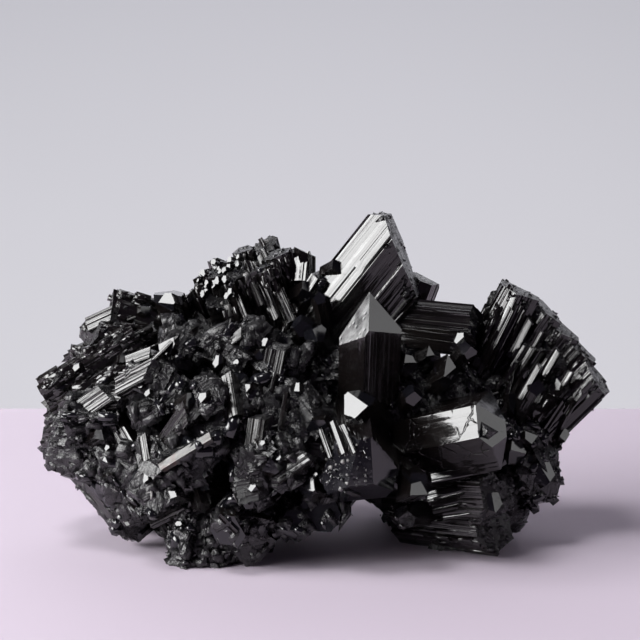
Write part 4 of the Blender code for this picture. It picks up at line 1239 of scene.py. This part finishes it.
# %% [markdown]
# Broken tourmaline is seen as thousands of little splinters. Each is a small closed solid, made once
# as one of a few dozen shapes and set on the rock many times, along the fibres of its place. Instances
# would be lighter, but the parts have to stay real meshes, so all splinters of a side are one mesh.

# %% Splinter shapes
SHAPE_COUNT = 12


def hull_of(points):
    """The convex solid round points: its corners, and its triangles."""
    shape = bmesh.new()
    for point in points:
        shape.verts.new(point)
    bmesh.ops.convex_hull(shape, input=shape.verts)
    loose = [vertex for vertex in shape.verts if not vertex.link_faces]
    bmesh.ops.delete(shape, geom=loose, context="VERTS")
    bmesh.ops.triangulate(shape, faces=shape.faces)
    bmesh.ops.recalc_face_normals(shape, faces=shape.faces)
    shape.verts.index_update()
    corners = np.array([vertex.co for vertex in shape.verts])
    triangles = np.array([[vertex.index for vertex in face.verts] for face in shape.faces])
    shape.free()
    return corners, triangles


def lath_shape(chance):
    """A flat-sided lath, one across and one long, with a slanting break at its tip."""
    sides = chance.choice([4, 4, 5])
    angles = (np.arange(sides) + chance.uniform(-0.2, 0.2, sides) + 0.5) * 2 * math.pi / sides
    section = np.stack([np.cos(angles) * 0.62, np.sin(angles) * 0.62], axis=1)
    slant = chance.uniform(-0.3, 0.3, 2)
    points = [(x, y, -0.5) for x, y in section] + [(x, y, 0.5 - abs(x * slant[0] + y * slant[1])) for x, y in section]
    return hull_of(points)


def chip_shape(chance):
    """A chip with a few flat faces."""
    points = unit(chance.normal(size=(8, 3))) * chance.uniform(0.42, 0.68, (8, 1))
    return hull_of(points)


def tip_shape(chance):
    """A short prism that ends in a three-faced pyramid."""
    angles = np.arange(6) * math.pi / 3 + chance.uniform(0, 1)
    ring = [(math.cos(angle) * 0.5, math.sin(angle) * 0.5) for angle in angles]
    points = [(x, y, -0.5) for x, y in ring] + [(x, y, 0.2 - 0.1 * (n % 2)) for n, (x, y) in enumerate(ring)]
    return hull_of([*points, (chance.uniform(-0.1, 0.1), chance.uniform(-0.1, 0.1), 0.5)])


shape_chance = np.random.default_rng(21)
LATHS = [lath_shape(shape_chance) for _ in range(SHAPE_COUNT)]
CHIPS = [chip_shape(shape_chance) for _ in range(SHAPE_COUNT)]
TIPS = [tip_shape(shape_chance) for _ in range(SHAPE_COUNT)]
SHAPES = LATHS + CHIPS + TIPS
print("splinter shapes:", len(SHAPES), "corners", sum(len(c) for c, _ in SHAPES))

# %% [markdown]
# Each kind of ground has its own splinters: long straight laths on the fan, fine ones on the open
# bundle, short chips in the splintered middle, little pyramids in the druse.

# %% Splinters: where they stand
# kind: lengths, widths, how far off the fibres in degrees, share of chips, share of tips, share kept
GROUND = {
    "fan": ((9.0, 18.0), (0.8, 2.0), 0.4, 0.0, 0.0, 0.07),
    "bundle": ((4.0, 10.0), (1.0, 2.2), 1.0, 0.0, 0.0, 0.15),
    "ledge": ((2.5, 7.0), (1.3, 3.6), 6.0, 0.4, 0.0, 0.55),
    "diagonal": ((3.0, 7.5), (1.2, 3.0), 5.0, 0.3, 0.0, 0.5),
    "plate": ((2.0, 5.0), (1.0, 2.4), 9.0, 0.5, 0.0, 0.25),
    "slope": ((2.0, 5.0), (1.4, 3.8), 12.0, 0.65, 0.05, 0.45),
    "splinter": ((2.2, 6.0), (1.3, 4.2), 14.0, 0.6, 0.1, 0.5),
    "foot": ((2.2, 5.0), (1.4, 3.4), 12.0, 0.55, 0.1, 0.5),
    "druse": ((1.6, 4.2), (1.1, 3.2), 20.0, 0.4, 0.4, 0.55),
    "under": ((5.0, 12.0), (0.8, 1.8), 1.5, 0.0, 0.0, 0.14),
    "back": ((2.4, 6.0), (1.2, 3.6), 14.0, 0.5, 0.1, 0.5),
}
RULED_KINDS = ("fan", "bundle", "under", "ledge", "diagonal")
LOWEST_SPLINTER = 0.6
STANDS_UP = 0.75


def along_of(first, second):
    """How far each vector of one array goes along that of the other, as a column."""
    return (first * second).sum(1, keepdims=True)


def scatter_points(mesh, count, chance):
    """Points spread evenly over a mesh, in millimetres, with the normal of the face each lies on."""
    mesh.calc_loop_triangles()
    corners = coordinates_of(mesh)[np.array([t.vertices[:] for t in mesh.loop_triangles])]
    across = np.cross(corners[:, 1] - corners[:, 0], corners[:, 2] - corners[:, 0])
    area = np.linalg.norm(across, axis=1)
    chosen = chance.choice(len(area), count, p=area / area.sum())
    first, second = chance.random(count), chance.random(count)
    flip = first + second > 1
    first[flip], second[flip] = 1 - first[flip], 1 - second[flip]
    a, b, c = corners[chosen, 0], corners[chosen, 1], corners[chosen, 2]
    points = a + (b - a) * first[:, None] + (c - a) * second[:, None]
    return points, across[chosen] / area[chosen, None]


def pick_ground(source, count, part_of, chance):
    """Where splinters stand: point, normal, way of the fibres, kind of ground, ruled or not, and settings."""
    points, normal = scatter_points(source, count, chance)
    keep = part_of(points) & (points[:, 2] > LOWEST_SPLINTER) & (normal[:, 2] > -0.95)
    points, normal = points[keep], normal[keep]
    keep = outside_all(BARE, points) > 0.3
    points, normal = points[keep], normal[keep]
    line, direction = fibres_at(points)
    kinds = np.array(LINE_KINDS)[line]
    settings = np.array([(*GROUND[k][0], *GROUND[k][1], *GROUND[k][2:]) for k in kinds])
    ruled = np.isin(kinds, RULED_KINDS)
    into = np.abs((direction * normal).sum(1)) > 0.6
    keep = (chance.random(len(points)) < settings[:, 7]) & ~(into & ruled)
    return [values[keep] for values in (points, normal, direction, kinds, ruled, settings)]


def stand_out(points):
    """How far points, in millimetres, stand out of the solid."""
    far = []
    for point in points:
        near, normal, _, distance = solid_tree.find_nearest(Vector(point) * MM)
        way = Vector(point) * MM - near
        far.append(distance / MM * (-1 if way.dot(normal) < -0.3 * distance else 1))
    return np.array(far)


print("kinds of ground:", list(GROUND))

# %% [markdown]
# A splinter lies along the fibres, give or take, with its first flat side away from the rock. A share of
# the laths on the ruled parts is turned about its length, so that this side mirrors a light. A lath
# whose end would stand off the rock is drawn in, or left out where that isn't enough.

# %% Splinters: how they are turned
# which light the laths mirror, and what share of them
LATH_LIGHTS = ((BOX_WAY, 0.2), (FRONT_WAY, 0.25), (HIGH_WAY, 0.1))
END_OUT, TIP_OUT, SIDE_OUT = 0.7, 1.5, 0.85


def splinter_turns(normal, direction, wild, loose, chance):
    """How each splinter is turned: its length along the fibres, its first flat side away from the rock."""
    length_way = unit(direction + np.tan(np.radians(wild))[:, None] * chance.normal(size=direction.shape) * 0.6)
    out = along_of(length_way, normal)
    length_way = np.where(out < 0, -length_way, length_way)
    out = np.abs(out)
    length_way = unit(length_way - normal * np.where(out < STANDS_UP, out * 0.97, 0.0))
    side = normal + chance.normal(size=normal.shape) * loose[:, None]
    side = unit(side - length_way * along_of(normal, length_way))
    side = unit(side - length_way * along_of(side, length_way))
    return side, np.cross(length_way, side), length_way, out[:, 0]


def turn_to_lights(side, across, length_way, normal, ruled, chance):
    """Turn a share of the ruled laths about their length, until their first side mirrors a light."""
    for light, share in LATH_LIGHTS:
        way = np.array(facing_light(light))
        turned = ruled & (chance.random(len(side)) < share) & (normal @ way > 0.2)
        way = unit(way + chance.normal(size=normal.shape) * 0.09)
        facing = unit(way - length_way * along_of(way, length_way))
        side[turned], across[turned] = facing[turned], np.cross(length_way, facing)[turned]


def draw_in(places, length, length_way, end_on):
    """Draw in lying splinters whose ends stand out of the solid, and say which of all then fit."""
    reach = length_way * (length / 2)[:, None]
    far_out, near_out = ((stand_out(places + way) > END_OUT) & ~end_on for way in (reach, -reach))
    pulled = np.where(far_out, length * 0.42, 0.0) - np.where(near_out, length * 0.42, 0.0)
    places = places - length_way * pulled[:, None]
    length = np.where(far_out & near_out, length * 0.4, length)
    reach = length_way * (length / 2)[:, None]
    ends = (places + reach, places - reach)
    fits = np.maximum(*(stand_out(end) for end in ends)) < np.where(end_on, TIP_OUT, SIDE_OUT)
    for end in ends:
        fits &= end_on | (outside_all(BARE, end) > 0.1)
    return places, length, fits


print("laths that mirror a light:", [share for _, share in LATH_LIGHTS])

# %% [markdown]
# All splinters of a side are joined in one mesh. Each moves its UVs by its own number, so no two show the
# same bands.

# %% Splinters on the rock


def splinter_mesh(name, shapes, sizes, turns, places, finish):
    """One mesh of many splinters: which shape, how large, how turned and where, and in which finish."""
    all_points, all_triangles, all_uv, all_finishes = [], [], [], []
    start = 0
    for number, (corners, triangles) in enumerate(SHAPES):
        mine = np.flatnonzero(shapes == number)
        if not len(mine):
            continue
        sized = corners[None] * sizes[mine][:, None, :]
        turned = np.einsum("nkc,ncd->nkd", sized, turns[mine]) + places[mine][:, None, :]
        keep = turned[:, :, 2].min(axis=1) > 0.05
        mine, sized, turned = mine[keep], sized[keep], turned[keep]
        around, along = sized[..., 0] + sized[..., 1] + mine[:, None] * 0.37, sized[..., 2] + mine[:, None] * 1.3
        index = triangles[None] + (start + np.arange(len(mine)) * len(corners))[:, None, None]
        all_points.append(turned.reshape(-1, 3))
        all_triangles.append(index.reshape(-1, 3))
        all_uv.append((np.stack([around, along], axis=2) / UV_MM)[:, triangles].reshape(-1, 2))
        all_finishes.append(np.repeat(finish[mine], len(triangles)))
        start += len(mine) * len(corners)
    points, triangles = np.concatenate(all_points) * MM, np.concatenate(all_triangles)
    mesh = bpy.data.meshes.new(name)
    mesh.vertices.add(len(points))
    mesh.vertices.foreach_set("co", points.ravel())
    mesh.loops.add(len(triangles) * 3)
    mesh.loops.foreach_set("vertex_index", triangles.ravel().astype(np.int32))
    mesh.polygons.add(len(triangles))
    mesh.polygons.foreach_set("loop_start", np.arange(0, len(triangles) * 3, 3, dtype=np.int32))
    mesh.polygons.foreach_set("material_index", np.concatenate(all_finishes).astype(np.int32))
    mesh.uv_layers.new(name="growth").data.foreach_set("uv", np.concatenate(all_uv).ravel())
    mesh.update(calc_edges=True)
    mesh.validate()
    return mesh


def scatter_splinters(name, source, count, seed, part_of):
    """Set splinters on the part of the solid's surface that a rule picks."""
    chance = np.random.default_rng(seed)
    points, normal, direction, kinds, ruled, settings = pick_ground(source, count, part_of, chance)
    shortest, longest, narrowest, widest, wild, chips, tips, _ = settings.T
    amount = len(points)
    length = shortest + (longest - shortest) * chance.random(amount) ** 1.6
    width = narrowest + (widest - narrowest) * chance.random(amount) ** 1.4
    pick = chance.random(amount)
    chip, tip = pick < chips, (pick >= chips) & (pick < chips + tips)
    side, across, length_way, out = splinter_turns(normal, direction, wild, np.where(ruled, 1.0, 0.3), chance)
    turn_to_lights(side, across, length_way, normal, ruled, chance)
    poke = chance.uniform(-0.3, 0.3, amount)
    length_way[tip] = unit(normal + chance.normal(size=normal.shape) * 0.45)[tip]
    side[tip] = unit(np.cross(length_way, chance.normal(size=normal.shape)))[tip]
    across[tip] = np.cross(length_way, side)[tip]
    width[chip] *= 1.3
    length[chip] = width[chip] * chance.uniform(0.8, 2.0, chip.sum())
    length[tip] = width[tip] * chance.uniform(1.0, 2.0, tip.sum())
    thick = width * chance.uniform(0.45, 0.95, amount)
    end_on = (out > STANDS_UP) | tip
    sunk = np.where(end_on[:, None], length_way * (poke - length / 2)[:, None], -normal * (thick * 0.34)[:, None])
    places, length, fits = draw_in(points + sunk, length, length_way, end_on)
    shapes = chance.integers(0, SHAPE_COUNT, amount) + np.select([chip, tip], [SHAPE_COUNT, 2 * SHAPE_COUNT], 0)
    sizes = np.stack([thick, width, length], axis=1)
    turns = np.stack([side, across, length_way], axis=1)
    grown = (kinds == "druse") | tip | (chance.random(amount) < 0.16)
    finish = np.where(ruled & ~chip & ~tip, 0, np.where(grown, 2, 1))
    mesh = splinter_mesh(name, shapes[fits], sizes[fits], turns[fits], places[fits], finish[fits])
    print(name, "holds", fits.sum(), "splinters")
    return finish_piece(name, mesh, (half_ruled_face, fractured, end_face))


scatter_splinters("left_splinters", solid.data, 24000, 31, lambda p: (p[:, 0] < -8) & (p[:, 1] < 8))
scatter_splinters("right_splinters", solid.data, 22000, 32, lambda p: (p[:, 0] >= -8) & (p[:, 1] < 8))
scatter_splinters("back_splinters", solid.data, 15000, 33, lambda p: p[:, 1] >= 8)
bpy.data.objects.remove(solid)

# %% [markdown]
# The finest breakage is fibres and crumbs, a few tenths of a millimetre thick, that lie on the splinters.
# They scatter light, so the splintered parts look scratched with grey and not glassy all over.

# %% Fibres and crumbs


def scatter_fibres(name, sources, count, seed, crumbs):
    """Thin fibres and crumbs on the outer sides of some pieces."""
    chance = np.random.default_rng(seed)
    found = [scatter_points(bpy.data.objects[source].data, count, chance) for source in sources]
    points, normal = (np.concatenate(kind) for kind in zip(*found))
    keep = (stand_out(points) > -0.15) & (points[:, 2] > 1.0) & (outside_all(BARE, points) > 0.2)
    points, normal = points[keep], normal[keep]
    amount = len(points)
    _, direction = fibres_at(points)
    loose = unit(direction + chance.normal(size=direction.shape) * 0.7)
    along = unit(loose - normal * along_of(loose, normal))
    side = unit(np.cross(along, np.cross(normal, along)))
    crumb = chance.random(amount) < crumbs
    width = np.where(crumb, chance.uniform(0.25, 0.7, amount), chance.uniform(0.16, 0.42, amount))
    length = np.where(crumb, width * chance.uniform(0.8, 1.6, amount), chance.uniform(0.9, 2.6, amount))
    thick = width * chance.uniform(0.4, 0.9, amount)
    shapes = chance.integers(0, SHAPE_COUNT, amount) + np.where(crumb, SHAPE_COUNT, 0)
    turns = np.stack([side, np.cross(along, side), along], axis=1)
    sizes = np.stack([thick, width, length], axis=1)
    places = points + normal * (thick * 0.2)[:, None]
    mesh = splinter_mesh(name, shapes, sizes, turns, places, chance.random(amount) < 0.45)
    print(name, "holds", amount, "fibres and crumbs")
    return finish_piece(name, mesh, (frayed, fractured))


scatter_fibres("left_fibres", ("left_splinters", "bundled_prisms"), 2600, 51, 0.7)
scatter_fibres("right_fibres", ("right_splinters",), 2600, 52, 0.8)
scatter_fibres("back_fibres", ("back_splinters",), 1800, 53, 0.7)

# %% [markdown]
# Some ends are etched: the face is eaten into a field of little columns that all stand along the
# crystal. They are set on a jittered grid over the end face, each with its own height.

# %% Etched ends


def etched_end(crystal, spacing, low, high, chance, faces=None):
    """Little columns over the end of a crystal: their sizes, turns and places."""
    half = max(crystal.width, crystal.depth) / 2
    steps = np.arange(-half, half, spacing)
    grid = np.stack(np.meshgrid(steps, steps, indexing="ij"), -1).reshape(-1, 2)
    grid = grid + chance.uniform(-0.4, 0.4, grid.shape) * spacing
    inside = np.ones(len(grid), bool)
    for corner, outward in crystal.flat_sides():
        inside &= (grid - corner) @ outward < -spacing * 0.35
    grid = grid[inside]
    across_end = [(normal, place) for normal, place in crystal.planes if normal.z > 0.2]
    tops = np.stack([(normal.dot(place) - grid @ np.array(normal)[:2]) / normal.z for normal, place in across_end])
    top = tops.min(axis=0)
    if faces:
        keep = np.isin(tops.argmin(axis=0), faces)
        grid, top = grid[keep], top[keep]
    amount = len(grid)
    width = spacing * chance.uniform(0.8, 1.7, amount)
    length = chance.uniform(2.0, 3.0, amount)
    turn = np.array(crystal.turn)
    rise = chance.uniform(low, high, amount)
    middle = np.concatenate([grid, (top + rise - length / 2)[:, None]], axis=1)
    spin = chance.uniform(0, 2 * math.pi, amount)
    lean = unit(np.stack([chance.normal(0, 0.3, amount), chance.normal(0, 0.3, amount), np.ones(amount)], axis=1))
    side = unit(np.cross(lean, np.stack([np.cos(spin), np.sin(spin), np.zeros(amount)], axis=1)))
    turns = np.stack([side, np.cross(lean, side), lean], axis=1) @ turn.T
    sizes = np.stack([width * chance.uniform(0.6, 1.0, amount), width, length], axis=1)
    return sizes, turns, middle @ turn.T + np.array(crystal.foot)


def make_etched(
    name, crystals, spacing, low, high, seed, faces=None, bright=0.2, finishes=(end_face, fractured)
):
    """Etched ends of some crystals, as one piece. A share of the columns has the first, brighter finish."""
    chance = np.random.default_rng(seed)
    parts = [etched_end(crystal, spacing, low, high, chance, faces) for crystal in crystals]
    sizes, turns, places = (np.concatenate(kind) for kind in zip(*parts))
    shapes = chance.integers(0, len(SHAPES), len(sizes))
    mesh = splinter_mesh(name, shapes, sizes, turns, places, np.where(chance.random(len(sizes)) < bright, 0, 1))
    return finish_piece(name, mesh, finishes)


fibrous = {"bright": 0.3, "finishes": (frayed, end_face)}
open_side = [prism for prism in bundled if prism.name.startswith("open_left")]
make_etched("etched_front_end", [front], 0.6, -0.35, 0.55, 41, faces=(0, 3), **fibrous)
make_etched("crust_on_tall_crystal", [tall], 1.0, -0.55, 0.2, 45)
make_etched("etched_bundle_end", [open_body, *open_rim, *open_side], 0.9, -0.4, 0.5, 42, **fibrous)
make_etched("etched_fan_ends", fan, 0.9, -0.4, 0.35, 43)
make_etched("etched_lower_ends", under[:2], 0.8, -0.4, 0.8, 44)
